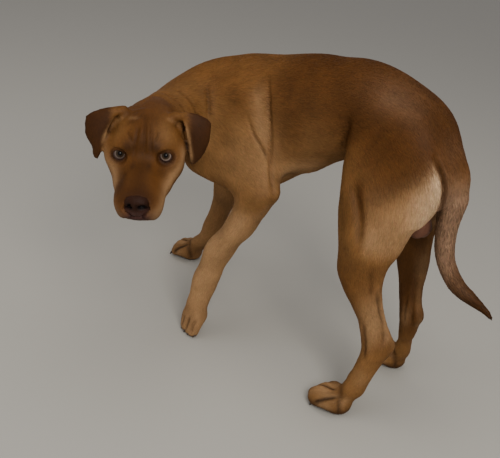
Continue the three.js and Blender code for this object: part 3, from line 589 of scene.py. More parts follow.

# ---------------------------------------------------------------- skin: lids, body and feet
# The lids turn in round the eyeballs, and the shoulder, flank, thighs, hocks and toes are pressed
# and raised as on the head.
# ---- eyelids: the skin turns in round each eyeball at an almond opening
OPENING_WIDTH, OPENING_TOP, OPENING_FOOT = 10.0, 8.5, 9.0
LID_TILT = math.radians(-7)
lid_marks = []
for side, sign in (("left", 1), ("right", -1)):
    gaze = (head_f + head_l * 0.18 * sign + head_u * 0.16).normalized()
    out = (head_l * sign - gaze * gaze.dot(head_l * sign)).normalized()
    up = (head_u - gaze * gaze.dot(head_u) - out * out.dot(head_u)).normalized()
    co = points(skin)
    q = (co - np.array(eye_at[side])) @ np.array([out, up, gaze]).T / MM
    x = q[:, 0] * math.cos(LID_TILT) + q[:, 1] * math.sin(LID_TILT)
    y = q[:, 1] * math.cos(LID_TILT) - q[:, 0] * math.sin(LID_TILT)
    z = q[:, 2]
    high = np.where(y > 0, OPENING_TOP, OPENING_FOOT)
    ring = (np.abs(x / OPENING_WIDTH) ** 1.9 + np.abs(y / high) ** 2.0) ** 0.5
    here = (z > 0) & (ring < 2.6)
    ball = np.sqrt(np.clip((EYE_RADIUS / MM) ** 2 - x ** 2 - y ** 2, 1, None))
    # points near the edge of the opening are drawn on to it
    edge = here & (np.abs(ring - 1) < 0.09)
    pull = np.where(edge, 1 / np.maximum(ring, 0.1), 1)
    x, y = x * pull, y * pull
    lid = np.sqrt(np.clip((EYE_RADIUS / MM + 1.7) ** 2 - x ** 2 - y ** 2, 1, None))
    blend = np.clip((ring - 1.0) / 0.75, 0, 1)
    blend = blend * blend * (3 - 2 * blend)
    z = np.where(here & (ring >= 0.91), lid * (1 - blend) + z * blend, z)
    z = np.where(here & (ring < 0.91), ball - 2.5, z)
    z = np.where(edge, ball + 0.35, z)
    z = z - np.where(here, 1.3 * np.exp(-0.5 * ((ring - 1.62) / 0.13) ** 2) * (0.55 + 0.45 * np.sign(y)), 0)
    q = np.stack([x * math.cos(LID_TILT) - y * math.sin(LID_TILT),
                  y * math.cos(LID_TILT) + x * math.sin(LID_TILT), z], 1)
    put(skin, np.where(here[:, None], np.array(eye_at[side]) + q @ np.array([out, up, gaze]) * MM, co))
    lid_marks.append(np.where(here, ring, 9.0))
lid_ring = np.minimum(*lid_marks)

# ---- body: shoulder, ribs, flank, thigh and hocks, in millimetres in the dog's frame
co = points(skin)
q = co / MM
lift = np.zeros(len(co))
for line, depth, width in CREASES.values():
    lift += formed(q, (-depth, line, width), (0.28 * depth, line, 2.6 * width))
# shoulder blades, the hollows behind them, elbows and the side of the neck
lift += formed(
    q, (2.8, [(-145, 74, 520), (-122, 59, 490), (-99, 53, 462), (-78, 51, 437)], 11),
    (2.8, [(-174, 243, 508), (-198, 236, 455), (-224, 230, 408)], 12), (-2.6, (-32, 64, 458), (22, 24, 50)),
    (-2.4, (-136, 250, 450), (22, 20, 50)), (2.2, (-128, 36, 400), (40, 20, 50)),
    (3.2, (-26, 54, 350), (9, 10, 11)), (3.0, (-204, 226, 350), (9, 12, 12)),
    (1.8, (-172, 41, 444), (9, 12, 24)),
)
for x in (-38, -14, 10, 34):      # ribs
    lift += formed(q, (1.1, [(x - 12, 70, 520), (x + 2, 66, 450), (x + 14, 80, 410)], 5),
                   (1.1, [(x - 42, 250, 520), (x - 28, 252, 450), (x - 16, 240, 410)], 5))
for y, other in ((1, 1), (248, -1)):      # thighs, seat bones and hips
    lift += formed(
        q, (2.4, [(122, y + 37 * other, 430), (142, y + 23 * other, 395), (160, y + 7 * other, 350)], 9),
        (2.6, [(232, y + 43 * other, 450), (214, y + 27 * other, 400), (206, y + 11 * other, 352)], 14),
        (2.6, (258, y + 62 * other, 462), (13, 9, 34)), (2.2, (161, y + 72 * other, 562), (15, 13, 12)),
    )
# hocks and the bones below them, breast, belly, the tail's root and the wrist
lift += formed(
    q, (4.6, [(241, 44, 135), (236, 36, 105), (226, 30, 72)], 26, False), (4.0, (262, 42, 138), (14, 16, 18)),
    (3.0, [(240, 205, 130), (242, 208, 90)], 24), (2.6, (256, 40, 167), (9, 11, 11)),
    (2.6, (259, 192, 160), (9, 11, 11)), (1.8, [(228, 24, 205), (234, 28, 180), (246, 26, 150)], 5),
    (6.5, (-222, 116, 534), (26, 30, 16)), (-3.0, (-34, 98, 355), (20, 26, 16)),
    (7.0, (292, 122, 458), (20, 24, 30)), (3.0, (-112, 30, 142), (8, 9, 9)),
)
lift += 2.8 * share_of(on, web, ("tail",), 12) * step_up(q[:, 0], 280, 320)
co = co + normals(skin) * lift[:, None] * MM
# parts that hang, swell or draw in: which way the skin moves, where, and how far round it
co += MM * formed(
    q, ((-2.0, 0, 0), [(-70, 34, 290), (-111, 28, 196), (-130, 17, 110)], 30),
    ((-7.5, 0, 0), [(-37, 42, 300), (-45, 38, 266), (-57, 33, 240), (-72, 32, 212), (-85, 27, 186)], 20,
     False),
    ((10, 0, 0), (-108, 15, 264), (20, 20, 28)), ((-8, 0, 0), (-144, -8, 62), (16, 18, 50)),
    ((-3, 0, 0), (-130, 2, 182), (14, 16, 20)), ((9, 0, 0), (-236, 192, 190), (26, 24, 46)),
    ((7, 0, 0), (-222, 192, 218), (16, 24, 24)), ((7, 0, 0), (-26, 54, 339), (11, 16, 11)),
    ((-14, 0, 0), (124, 40, 432), (32, 28, 46)), ((12, 0, 0), (219, 32, 314), (16, 24, 27)),
    ((8, 0, 0), (247, 46, 196), (20, 18, 24)), ((6, 0, 0), (239, 202, 252), (16, 16, 34)),
    ((-1, -7, -9), (-176, 38, 340), (36, 30, 22)), ((-4, -7, -9), (-220, 40, 352), (24, 28, 24)),
    ((-2, 0, 21), (247, 52, 366), (13, 32, 16)), ((0, 0, 15), (-46, 118, 345), (30, 46, 17)),
    ((0, 0, 11), (-67, 138, 330), (24, 26, 16)), ((8, 1, -4), (398, 143, 245), (16, 16, 16)),
)
put(skin, co)

# ---- feet: four toes on each, arched, with deep clefts between them and dark pads below
FLAT_FEET = {"front_right": ((-350.8, 226.0), 184), "hind_left": ((194.2, 17.0), 182),
             "hind_right": ((207.2, 226.0), 182)}
TOES = (-1.5, -0.5, 0.5, 1.5)


def foot_frame(at, heading):
    c, s = math.cos(math.radians(heading)), math.sin(math.radians(heading))
    return lambda f, l, u: (at[0] + c * f - s * l, at[1] + s * f + c * l, u)


def in_foot(q, at, heading):
    """forward, sideways from the middle (both sides alike) and up, for one foot"""
    c, s = math.cos(math.radians(heading)), math.sin(math.radians(heading))
    x, y = q[:, 0] - at[0], q[:, 1] - at[1]
    return np.stack([c * x + s * y, np.abs(c * y - s * x), q[:, 2]], 1)


# on a flat foot the two middle toes stand forward, an outer toe lies along each side, then the heel
FOOT_CLEFTS = (([(-14, 0, 46), (10, 0, 39), (22, 0, 32), (33, 0, 12)], 5.0, 2.3),
               ([(-19, 14, 43), (-10, 23, 37), (-1, 29, 31), (7, 36, 24), (11, 38, 12)], 5.0, 2.6),
               ([(-20, 15, 42), (-26, 22, 30), (-30, 22, 16), (-32, 20, 6)], 3.4, 3.6),
               ([(-14, 0, 60), (-16, 8, 58), (-20, 14, 49), (-26, 19, 40)], 3.4, 4.5))
FOOT_LINES = [(on_skin([foot_frame(at, heading)(f, side * l, u) for f, l, u in line]), depth, width)
              for at, heading in FLAT_FEET.values() for side in (1, -1)
              for line, depth, width in FOOT_CLEFTS[int(side < 0):]]
# the left fore foot stands on its toes
STEP_CLEFTS = [on_skin(line) for line in (
    [(-147, -8, 38), (-149, -11, 26), (-150, -12, 12)], [(-132, -14, 42), (-135, -18, 30), (-137, -20, 10)],
    [(-117, -14, 42), (-120, -18, 30), (-121, -21, 12)])]
co = points(skin)
q = co / MM
lift = np.zeros(len(co))
clefts = np.zeros(len(co))
for line, depth, width in FOOT_LINES:
    lift += formed(q, (-depth, line, width), (0.25 * depth, line, 2.4 * width))
    clefts = np.maximum(clefts, depth / 5 * fold(q, line, 1.05 * width))
for at, heading in FLAT_FEET.values():
    lift += formed(
        in_foot(q, at, heading), (3.6, (15, 9, 36), (8, 5.5, 7)), (2.0, (30, 9, 15), (6, 5, 7)),
        (3.2, (-4, 29, 24), (10, 6, 9)), (-2.0, (-1, 9, 41), (5, 5, 6)), (-1.5, (-38, 10, 20), (8, 14, 12)),
    )
for line in STEP_CLEFTS:
    lift += formed(q, (-4.5, line, 2.4), (1.2, line, 5.5))
co = co + normals(skin) * lift[:, None] * MM
# the left hind toes reach forward, and its instep is lower
co += MM * formed(q, ((-12, 0, 0), (168, -4, 22), (16, 18, 16)), ((0, 0, -9), (205, 17, 57), (14, 14, 12)))
put(skin, co)

# ---------------------------------------------------------------- skin and coat: markings
# The coat is red-brown: darker along the back and on the muzzle and ears, tan on the cheeks and
# down the legs, cream behind the thighs, grizzled on the tail.  The same marks are on the skin and
# on every tuft, as a colour at each point of the skin.
# Some of the marks are painted light and shade: painted shade in creases, hollows, gaps and clefts, on the
# right legs, the right of the muzzle and the right eye, painted highlights on ridges, tendons and toes, and a
# painted sheen on the rump.
RUST, SADDLE_AND_SHADE, FAWN = (0.118, 0.044, 0.0085), (0.068, 0.0235, 0.0036), (0.205, 0.097, 0.0300)
TAN, CREAM, GRIZZLE_AND_SHEEN = (0.340, 0.190, 0.085), (0.600, 0.400, 0.230), (0.250, 0.145, 0.085)
UMBER, LIVER, DARK = (0.046, 0.0155, 0.0022), (0.043, 0.0140, 0.0030), (0.014, 0.006, 0.0035)
MAUVE, PINK = (0.060, 0.024, 0.019), (0.150, 0.066, 0.040)


def tint(colour, share):
    """brings the coat some way towards a colour"""
    global tone
    tone = tone + (np.array(colour) - tone) * np.clip(share, 0, 1)[:, None]


def marks(q, share, *rows):
    """marks laid on in turn: each a colour, how strong, where it is and how wide"""
    for colour, *form in rows:
        tint(colour, share * formed(q, form))

co = points(skin)
q, spot = co / MM, in_head(co)
both = paired(spot)
mirrored = np.stack([q[:, 0], MIDDLE_Y + np.abs(q[:, 1] - MIDDLE_Y), q[:, 2]], 1)
high = q[:, 2]
of_head, of_ears, of_tail = (share_of(on, web, words, times) for words, times in
                             ((("head", "nose"), 20), (("ear",), 4), (("tail",), 12)))
of_front, of_hind, of_paws = (share_of(on, web, words, 25) for words in (("front",), ("hind",), ("paw",)))
of_hind_quarter = np.clip(of_hind + step_up(q[:, 0], 130, 150), 0, 1) * (1 - of_tail)
tone = np.tile(np.array(RUST), (len(co), 1))
tint(FAWN, 0.95 * step_up(high, 515, 410) + 0.3 * step_up(q[:, 0], -50, -100))
tint(SADDLE_AND_SHADE, 0.85 * step_up(high, 465, 535) * step_up(q[:, 0], -150, -40))
# painted highlight along the ridge of the left shoulder blade, and a broad faint tan over the ribs behind it
SHOULDER_HIGHLIGHT = [(-118, 72, 530), (-104, 60, 500), (-92, 56, 478), (-80, 55, 455), (-66, 53, 430)]
tint(TAN, formed(q, (0.55, SHOULDER_HIGHLIGHT, 10), (0.16, (-5, 74, 455), (60, 40, 50))))
tint(SADDLE_AND_SHADE, formed(q, (0.28, (-138, 52, 478), (18, 20, 26)), (0.16, (-212, 20, 500), (36, 60, 30))))
# a painted sheen along the top of the rump, partly real grizzled hair
tint(GRIZZLE_AND_SHEEN, formed(q, (0.17, [(110, 96, 574), (160, 84, 568), (205, 84, 556)], 17),
                     (0.15, (146, 100, 580), (46, 40, 30)), (0.14, (254, 112, 520), (18, 30, 30))))
# the first mark here is painted shade between the rump and the root of the tail
marks(q, 1, (SADDLE_AND_SHADE, 0.5, (212, 96, 558), (20, 26, 30)), (GRIZZLE_AND_SHEEN, 0.1, (170, 32, 424), (18, 16, 20)),
      (SADDLE_AND_SHADE, 0.3, (190, 18, 302), (28, 24, 22)))
# painted shade in the hollows behind both shoulder blades
tint(SADDLE_AND_SHADE, formed(q, (0.7, (-30, 62, 462), (20, 24, 46)), (0.6, (-136, 250, 455), (20, 20, 46))))
tint(FAWN, formed(q, (0.6, (-172, 41, 440), (8, 14, 30)), (0.6, (-230, 0, 480), (20, 40, 20))))
tint(TAN, formed(q, (0.7, (-10, 95, 386), (56, 30, 16)), (0.6, (-44, 132, 350), (60, 34, 24)),
                 (0.45, [(-40, 96, 362), (-10, 108, 384), (30, 114, 414)], 18)))
# the right fore leg takes less tan: painted shade under the body
tint(TAN, of_front * step_up(high, 450, 345) * (0.9 - 0.55 * step_up(q[:, 1], 120, 160)))
# partly tan hair, partly a painted highlight on the left upper arm
marks(q, 1, (TAN, 0.42, (-98, 40, 392), (48, 30, 46)))
tint(RUST, 0.15 * of_front * of_paws)
# thighs: dark in the middle, tan on the hamstrings, cream behind, tan again on the shanks
marks(mirrored, 1, (SADDLE_AND_SHADE, 0.75, (182, 200, 465), (44, 60, 70)))
tint(RUST, 0.6 * of_hind * step_up(high, 360, 260))
root_of_tail = step_up(q[:, 0], 225, 245) * step_up(np.abs(q[:, 1] - MIDDLE_Y), 53, 44)
pale_top = np.interp(q[:, 0], (150, 200, 240, 258), (414, 446, 480, 514))
pale_front = np.interp(high, (345, 363, 393, 415, 435), (187, 178, 165, 154, 145))
pale = of_hind_quarter * (1 - root_of_tail) * step_up(pale_top - high, -28, 56)
pale *= step_up(q[:, 0] - pale_front, -3, 12) * step_up(high, 322, 362)
pale *= 0.25 + 0.75 * step_up(q[:, 0] + 0.35 * (430 - high), 165, 245)
tint(TAN, 0.78 * pale)
# the right hind leg takes less tan here and is darkened below: painted shade on it
tint(TAN, of_hind * formed(q, (0.75, (228, 32, 215), (20, 30, 38)), (0.35, (228, 216, 200), (17, 30, 38))))
tint(FAWN, 0.8 * of_hind * step_up(high, 175, 120))
tint(SADDLE_AND_SHADE, 0.65 * of_hind * step_up(q[:, 1], 130, 160) * step_up(high, 420, 330) * step_up(high, 60, 130))
tint(CREAM, 0.42 * pale * step_up(q[:, 0] + 0.25 * (high - 400), 226, 266))
marks(mirrored, 1 - root_of_tail,
      (CREAM, 0.95, [(252, 179, 496), (266, 183, 466), (266, 190, 424), (252, 197, 398)], 8))
# painted shade in the deeper creases, and beside them lines of painted shade and painted highlight on the
# thighs, shanks and hocks, partly pale hair
for name, (line, depth, width) in CREASES.items():
    if name not in ("right flank", "left fore leg", "right fore leg", "left armpit"):
        marks(q, 1, (UMBER, 0.55, line, width * 0.9))
marks(q, 1, *((colour, share, on_skin(line), width) for colour, share, line, width in (
    (SADDLE_AND_SHADE, 0.6, [(140, 34, 448), (145, 31, 435), (154, 24, 415), (165, 18, 393)], 6.5),
    (TAN, 0.35, [(232, 192, 290), (242, 193, 242), (254, 189, 200), (263, 186, 165)], 6),
    (TAN, 0.4, [(230, 181, 175), (232, 181, 160), (235, 180, 134)], 8),
    (TAN, 0.6, [(228, 46, 248), (244, 48, 215), (262, 48, 178), (267, 48, 160)], 6),
    (TAN, 0.5, [(222, 30, 205), (228, 29, 175), (238, 30, 150)], 4.5),
    (TAN, 0.6, [(236, 190, 290), (238, 191, 262), (242, 192, 232)], 9),
    (TAN, 0.45, [(236, 180, 165), (240, 179, 130)], 5),
    (TAN, 0.45, [(263, 186, 162), (264, 188, 134)], 5),
    (TAN, 0.6, [(238, 50, 228), (246, 50, 205), (258, 50, 188), (268, 52, 172)], 6),
    (TAN, 0.5, [(228, 32, 215), (237, 31, 191), (242, 27, 165)], 6),
    (TAN, 0.3, [(238, 17, 112), (243, 20, 90), (234, 12, 76)], 12),
    (TAN, 0.3, [(214, 22, 238), (222, 28, 215)], 13),
)))
# painted shade deepest in the creases of the left hock
for name in ("left hock, outer", "left hock, inner", "left hock, front"):
    line, depth, width = CREASES[name]
    marks(q, 1, (DARK, 0.4, line, width * 0.8))
# painted shade in the hollow of the left flank, in the groove before the left thigh, by the left hock, and
# down the right hind leg, the right fore leg and the right fore foot
tint(UMBER, formed(
    q, (0.7, (78, 80, 500), (14, 20, 26)), (0.75, (222, 184, 222), (15, 14, 54)),
    (0.35, (248, 184, 140), (18, 18, 22)), (0.4, [(128, 40, 440), (138, 22, 400), (150, 12, 362)], 13),
    (0.2, (257, 30, 163), (10, 12, 13)),
    (0.35, (-330, 205, 35), (45, 30, 28)), (0.4, (-240, 192, 190), (40, 30, 60)),
))
tint(GRIZZLE_AND_SHEEN, np.maximum(of_tail, root_of_tail) * step_up(high, 505, 440))
tint(SADDLE_AND_SHADE, of_tail * step_up(q[:, 0], 285, 320) * 0.7)
tint(UMBER, of_tail * step_up(q[:, 0], 300, 375) * 0.95)
# painted shade in the grooves on both sides of the tail's root
TAIL_ROOT_SHADE = [(246, 78, 500), (262, 79, 480), (268, 78, 466), (272, 80, 450), (272, 87, 430), (266, 109, 403)]
for line in (TAIL_ROOT_SHADE, other_side(TAIL_ROOT_SHADE)):
    marks(q, 1, (UMBER, 0.85, on_skin(line), 3.4))
of_scrotum = share_of(on, web, ("scrotum",), 6)
tint(PINK, of_scrotum)
# dark at the scrotum's back and top: its own dark skin and painted shade between it and the buttocks
tint(DARK, of_scrotum * 0.8 * np.maximum(step_up(q[:, 0], 247, 254), step_up(high, 384, 398)))
# head: brown crown, dark muzzle, tan cheeks, darker lips, dark corners and brows
tint(RUST, of_head)
marks(spot, of_head, (SADDLE_AND_SHADE, 0.75, (-40, 0, 60), (60, 30, 30)))
marks(both, of_head, (FAWN, 0.65, (-24, 46, 36), (22, 15, 18)))
# the tan is weaker on the right cheek and muzzle than on the left, as painted shade, and the tan along the
# left skull edge is a painted highlight on its ridge
marks(spot, of_head,
      (TAN, 0.9, [(-22, 63, -8), (4, 52, -30), (40, 44, -34), (72, 39, -38), (88, 28, -48)], 9, False),
      (TAN, 0.7, [(36, 38, -54), (66, 36, -56), (88, 22, -56)], 8, False),
      (TAN, 0.75, [(-22, -62, -8), (10, -47, -24), (32, -42, -32)], 10, False),
      (TAN, 0.35, [(52, -38, -38), (80, -34, -44), (94, -24, -50)], 7, False),
      (TAN, 0.3, SKULL_EDGE, 2.2, False))
tint(TAN, of_head * 0.5 * step_up(both[:, 2], -45, -70))
# the second line of umber, down the right side of the muzzle, is painted shade
marks(spot, of_head, (UMBER, 0.95, [(34, 0, 10), (60, 1, 0), (90, 1, -10)], 15, False),
      (UMBER, 0.7, [(30, -22, -8), (58, -27, -16), (82, -25, -24)], 8))
marks(both, of_head, (UMBER, 0.55, (-4, 0, 28), (30, 11, 16)), (LIVER, 0.95, (90, 7, -18), (12, 17, 11)),
      (MAUVE, 1.3, (94, 0, -53), (18, 18, 11)))
# painted shade in the furrows
marks(spot, of_head, *((UMBER, 0.5, line, 2.4) for line in FURROWS))
# the umber low on the right of the muzzle is painted shade; the tan lines on the right of the skull are
# painted highlights on its ridges
marks(spot, of_head, (TAN, 0.16, (-16, 36, 33), (16, 12, 12)),
      (TAN, 0.4, [(-42, -30, 49), (-43, -41, 40), (-42, -52, 31), (-40, -58, 25)], 2.5),
      (TAN, 0.3, [(-36, -26, 48), (-34, -15, 51), (-32, -8, 52)], 2.5),
      (UMBER, 0.35, (68, -29, -20), (14, 8, 10)))
marks(both, of_head, (DARK, 0.55, (6, 23, 21), (9, 6, 7)), (DARK, 0.5, (28.5, 13.4, 0), (6, 3.6, 4)),
      (UMBER, 0.5, (24, 34, -14), (12, 9, 8)), (DARK, 0.85, MOUTH, 2.2, False))
tint(LIVER, of_ears * 0.95 * np.maximum(step_up(spot[:, 1], 62, 80), step_up(-spot[:, 1], 46, 60)))
marks(spot, of_ears,
      (TAN, 0.9, [(-50, 66, 38), (-46, 69, 28), (-41, 73, 12), (-37, 77, -12), (-37, 79, -30)], 2.3),
      (TAN, 0.9, [(-46, -47, 49), (-36, -56, 34), (-28, -63, 22), (-23, -67, 8)], 2.3))
# painted shade in the gaps between the ears and the skull, and painted shadow along the left ear's inner edge
# and on the throat below it
marks(spot, 1, (DARK, 0.9, EAR_GAP_LEFT, 2.1), (DARK, 0.9, EAR_GAP_RIGHT, 2.1),
      (DARK, 0.8, [(-47, 66, 14), (-43, 67.5, 7), (-41, 69.5, -1), (-40.5, 71.5, -12), (-40, 73, -24)], 2.5),
      (UMBER, 0.7, (-184, 64, -113), (22, 16, 14)))
tint(DARK, 0.9 * np.exp(-0.5 * ((lid_ring - 0.98) / 0.17) ** 2))
tint(LIVER, 0.75 * np.exp(-0.5 * ((lid_ring - 1.3) / 0.25) ** 2))
# feet: painted shade low on the hind feet, in the clefts between the toes and on the left fore toes, painted
# highlights on the toes, and dark leather pads under them
# painted shade low on the hind feet, partly their dark pads
tint(UMBER, 0.7 * of_paws * of_hind * step_up(high, 26, 11))
# painted highlights on the toes of the flat feet
for at, heading in FLAT_FEET.values():
    tint(TAN, of_paws * formed(in_foot(q, at, heading), (0.55, (20, 9, 32), (10, 5, 8)),
                               (0.55, (-2, 33, 20), (8, 6, 8)), (0.55, (4, 14, 38), (10, 6, 8))))
# painted highlights on the toes of the left hind foot
for line in ([(206, -2, 38), (186, -6, 36), (164, -4, 30)], [(196, 22, 44), (176, 14, 38)],
             [(206, -17, 24), (190, -20, 22)], [(226, -2, 30), (230, 6, 40)]):
    marks(q, 1, (TAN, 0.5, line, 6.5, False))
# painted shade in the clefts between the toes
tint(DARK, of_paws * 0.85 * clefts)
marks(q, 1, *((DARK, 0.75, line, 2.0) for line in STEP_CLEFTS))
tint(DARK, of_paws * step_up(high, 10, 4) * 0.9)
coloured(skin.data, "coat", tone)

# the tones of the coat: what the colour at a place becomes, from a few hairs darker or lighter to
# broad soft clouds, and how high the hair stands there
tones = bpy.data.node_groups.new("coat tones", "ShaderNodeTree")
tones.interface.new_socket("Color", in_out="INPUT", socket_type="NodeSocketColor")
tones.interface.new_socket("Color", in_out="OUTPUT", socket_type="NodeSocketColor")
tones.interface.new_socket("Height", in_out="OUTPUT", socket_type="NodeSocketFloat")
enter, leave = tones.nodes.new("NodeGroupInput"), tones.nodes.new("NodeGroupOutput")
place = added(tones, "TexCoord").outputs["Object"]
hairs = added(tones, "TexNoise", Vector=place, Scale=620, Detail=3).outputs["Fac"]
clouds = added(tones, "TexNoise", Vector=place, Scale=26, Detail=4).outputs["Fac"]
both_noises = added(tones, "Math", hairs, 0.55, clouds, operation="MULTIPLY_ADD").outputs[0]
bright = added(tones, "MapRange", Value=both_noises, From_Min=0.45, From_Max=1.10, To_Min=0.72, To_Max=1.28)
shaded = added(tones, "VectorMath", enter.outputs["Color"], Scale=bright.outputs["Result"], operation="SCALE")
fed(tones, leave, Color=shaded.outputs["Vector"], Height=hairs)


def coated(name, relief):
    """a material that takes its colour from the coat attribute through the coat's tones"""
    material, tree, shader = finish_of(name, RUST, 0.62)
    group = added(tree, "Group")
    group.node_tree = tones
    fed(tree, group, Color=painted(tree, "coat"))
    bump = added(tree, "Bump", Height=group.outputs["Height"], Strength=relief, Distance=0.0006)
    fed(tree, shader, Base_Color=group.outputs["Color"], Normal=bump.outputs["Normal"],
        Specular_IOR_Level=0.16)
    return material
skin.data.materials.append(coated("skin under short coat", 0.5))
skin.data.validate()
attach(skin, "root")
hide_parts(*FLESH)

# ---------------------------------------------------------------- coat: which way it lies
# The hair runs back from the nose over the head, along the body and round on to the flanks, down
# each leg to the toes and along the tail, and out along each ear.
TRUNK_LIE = [(-249, 34, 450), (-220, 100, 462), (-155, 152, 470), (-55, 159, 490), (85, 150, 530),
             (185, 133, 520), (237, 124, 490), (262, 124, 440)]
NECK_LIE = [tuple(from_head(-90, 0, 20) / MM), (-249, 34, 450), (-200, 120, 462)]
LIMB_LIE = {
    "front_left": [(-159, 84, 440), (-103, 68, 402), (-55, 49, 335), (-82, 38, 262), (-111, 28, 196),
                   (-130, 17, 125), (-131, 11, 90), (-135, -6, 34), (-139, -16, 8)],
    "front_right": [(-203, 182, 436), (-225, 204, 350), (-245, 208, 240), (-271, 212, 118), (-277, 213, 96),
                    (-315, 219, 50), (-365, 227, 15)],
    "hind_left": [(185, 82, 485), (170, 39, 370), (175, 32, 300), (203, 37, 235), (232, 46, 168),
                  (241, 46, 140), (235, 34, 100), (215, 22, 40), (180, 16, 15)],
    "hind_right": [(185, 176, 485), (190, 209, 360), (207, 209, 255), (232, 197, 172), (242, 197, 140),
                   (241, 209, 75), (230, 219, 40), (185, 225, 12)],
    "tail": [(233, 124, 495), (263, 124, 470), (273, 125, 425), (277, 129, 370), (289, 134, 320),
             (318, 138, 283), (357, 141, 264), (399, 143, 244)],
    "scrotum": [(230, 122, 440), (228, 122, 400)],
    "ear_left": [tuple(from_head(*p) / MM) for p in ((-58, 60, 52), (-60, 110, 35), (-38, 81, -33))],
    "ear_right": [tuple(from_head(*p) / MM) for p in ((-48, -44, 60), (-45, -97, 43), (-19, -81, -18))],
}


def heading_along(q, line):
    """the direction of a line at the place on it that is nearest to each point"""
    line = np.array(line, float)
    along = off_line(q, line)[1]
    gone = np.r_[0, np.cumsum(np.linalg.norm(np.diff(line, axis=0), axis=1))]
    turn = np.gradient(line, gone, axis=0)
    return np.stack([np.interp(along * gone[-1], gone, turn[:, k]) for k in range(3)], 1)


def unit(v):
    return v / np.maximum(np.linalg.norm(v, axis=1), 1e-9)[:, None]


names = np.array(PARTS)[on]
lie = unit(heading_along(q, TRUNK_LIE))
lie[:, 2] -= 0.75 * step_up(high, 520, 420)
chosen = names == "neck"
lie[chosen] = unit(heading_along(q[chosen], NECK_LIE)) * (1, 1, 0.6) - (0, 0, 0.25)
for word, line in LIMB_LIE.items():
    chosen = np.array([word in name for name in names])
    lie[chosen] = unit(heading_along(q[chosen], line))
chosen = (names == "head") | (names == "nose")
NOSE_AT = (101, 0, -28)
lie[chosen] = unit((spot[chosen] - NOSE_AT) * (1, 1.15, 0.9)) @ HEAD_AXES
up = normals(skin)
for _ in range(24):
    lie = 0.4 * lie + 0.6 * web.mean(lie)
    lie = unit(lie - up * (lie * up).sum(1)[:, None])

# ---------------------------------------------------------------- coat: the tufts
# Each tuft is a thin closed blade of a few hairs that grows from the skin, lies along it and ends
# just clear of it.  They are longest on the buttocks and the tail and shortest on the face and feet.
TUFTS = 122000
COAT_SEED = 11
PIECES = 7
# at each point: the tufts' length, width and lift in millimetres, and how thickly they grow
sizes = np.tile(np.array((11.0, 1.25, 0.55, 1.0)), (len(co), 1))


def suited(share, *size):
    global sizes
    sizes = sizes + (np.array(size) - sizes) * np.clip(share, 0, 1)[:, None]


suited(np.clip(of_front + of_hind, 0, 1) * step_up(high, 400, 300), 7.5, 1.0, 0.5, 1.35)
suited(fold(mirrored, [(250, 177, 505), (268, 181, 466), (264, 190, 420), (236, 204, 380)], 16),
       13.5, 1.3, 1.6, 1.5)
suited(of_tail, 13.0, 1.15, 1.3, 2.0)
suited(step_up(high, 400, 370) * (1 - np.clip(of_front + of_hind + of_head, 0, 1)), 9.5, 1.1, 0.9, 1.2)
suited(of_head, 5.0, 0.75, 0.35, 2.6)
suited(of_head * step_up(spot[:, 0], 15, 50), 2.8, 0.6, 0.22, 3.6)
suited(of_ears, 5.2, 0.8, 0.35, 2.0)
suited(of_paws, 4.6, 0.8, 0.3, 2.3)
suited(share_of(on, web, ("scrotum",), 4), 2.6, 0.6, 0.2, 1.6)
sizes[:, 3] *= (lid_ring > 1.22) * (1 - np.clip(under_nose * 4, 0, 1)) * (1 - of_paws * step_up(high, 8, 5))
sizes[:, 0] *= 0.45 + 0.55 * step_up(lid_ring, 1.2, 2.4)

draw = np.random.default_rng(COAT_SEED)
skin.data.calc_loop_triangles()
corners = fetched(skin.data.loop_triangles, "vertices", 3, np.int32)
edge_a, edge_b = co[corners[:, 1]] - co[corners[:, 0]], co[corners[:, 2]] - co[corners[:, 0]]
area = np.linalg.norm(np.cross(edge_a, edge_b), axis=1) / 2
chance = np.cumsum(area * sizes[corners, 3].mean(1))
grown = (np.arange(TUFTS) + draw.random(TUFTS)) / TUFTS * chance[-1]
facet = np.minimum(np.searchsorted(chance, grown), len(corners) - 1)
r, s = np.sqrt(draw.random(TUFTS)), draw.random(TUFTS)
weight = np.stack([1 - r, r * (1 - s), r * s], 1)


def at_roots(values):
    return (values[corners[facet]] * weight[:, :, None]).sum(1)


root, out, way, size, hue = at_roots(co), unit(at_roots(up)), at_roots(lie), at_roots(sizes), at_roots(tone)
side = unit(np.cross(out, way))
way = unit(way + side * draw.normal(0, 0.16, TUFTS)[:, None])
side = unit(np.cross(out, way))
length = size[:, 0] * draw.uniform(0.72, 1.2, TUFTS) * MM
wide = size[:, 1] * draw.uniform(0.75, 1.25, TUFTS) * MM / 2
lift = size[:, 2] * draw.uniform(0.5, 1.5, TUFTS) * MM
ground = BVHTree.FromPolygons(co.tolist(), corners.tolist())


def settle(spots):
    found = [ground.find_nearest(p)[:2] for p in spots.tolist()]
    return np.array([f[0][:] for f in found]), np.array([f[1][:] for f in found])


half, half_out = settle(root + way * (length * 0.5)[:, None])
run = unit(half - root)
end, end_out = settle(half + run * (length * 0.5)[:, None])
half_side = unit(np.cross(half_out, run))
thick = wide * 0.5
blade = np.stack([
    root - side * wide[:, None] * 0.8 - out * 0.35 * MM,
    root + side * wide[:, None] * 0.8 - out * 0.35 * MM,
    root + out * thick[:, None] * 0.9 - way * 0.2 * MM,
    half - half_side * wide[:, None] + half_out * (lift * 0.35)[:, None],
    half + half_side * wide[:, None] + half_out * (lift * 0.35)[:, None],
    half + half_out * (lift * 0.45 + thick)[:, None],
    end + end_out * lift[:, None],
], 1)
BLADE = np.array([(0, 2, 1), (0, 1, 4), (0, 4, 3), (1, 2, 5), (1, 5, 4), (2, 0, 3), (2, 3, 5), (3, 4, 6),
                  (4, 5, 6), (5, 3, 6)])
TONE_ALONG = np.array((0.85, 0.85, 0.9, 1.0, 1.0, 1.05, 1.18))
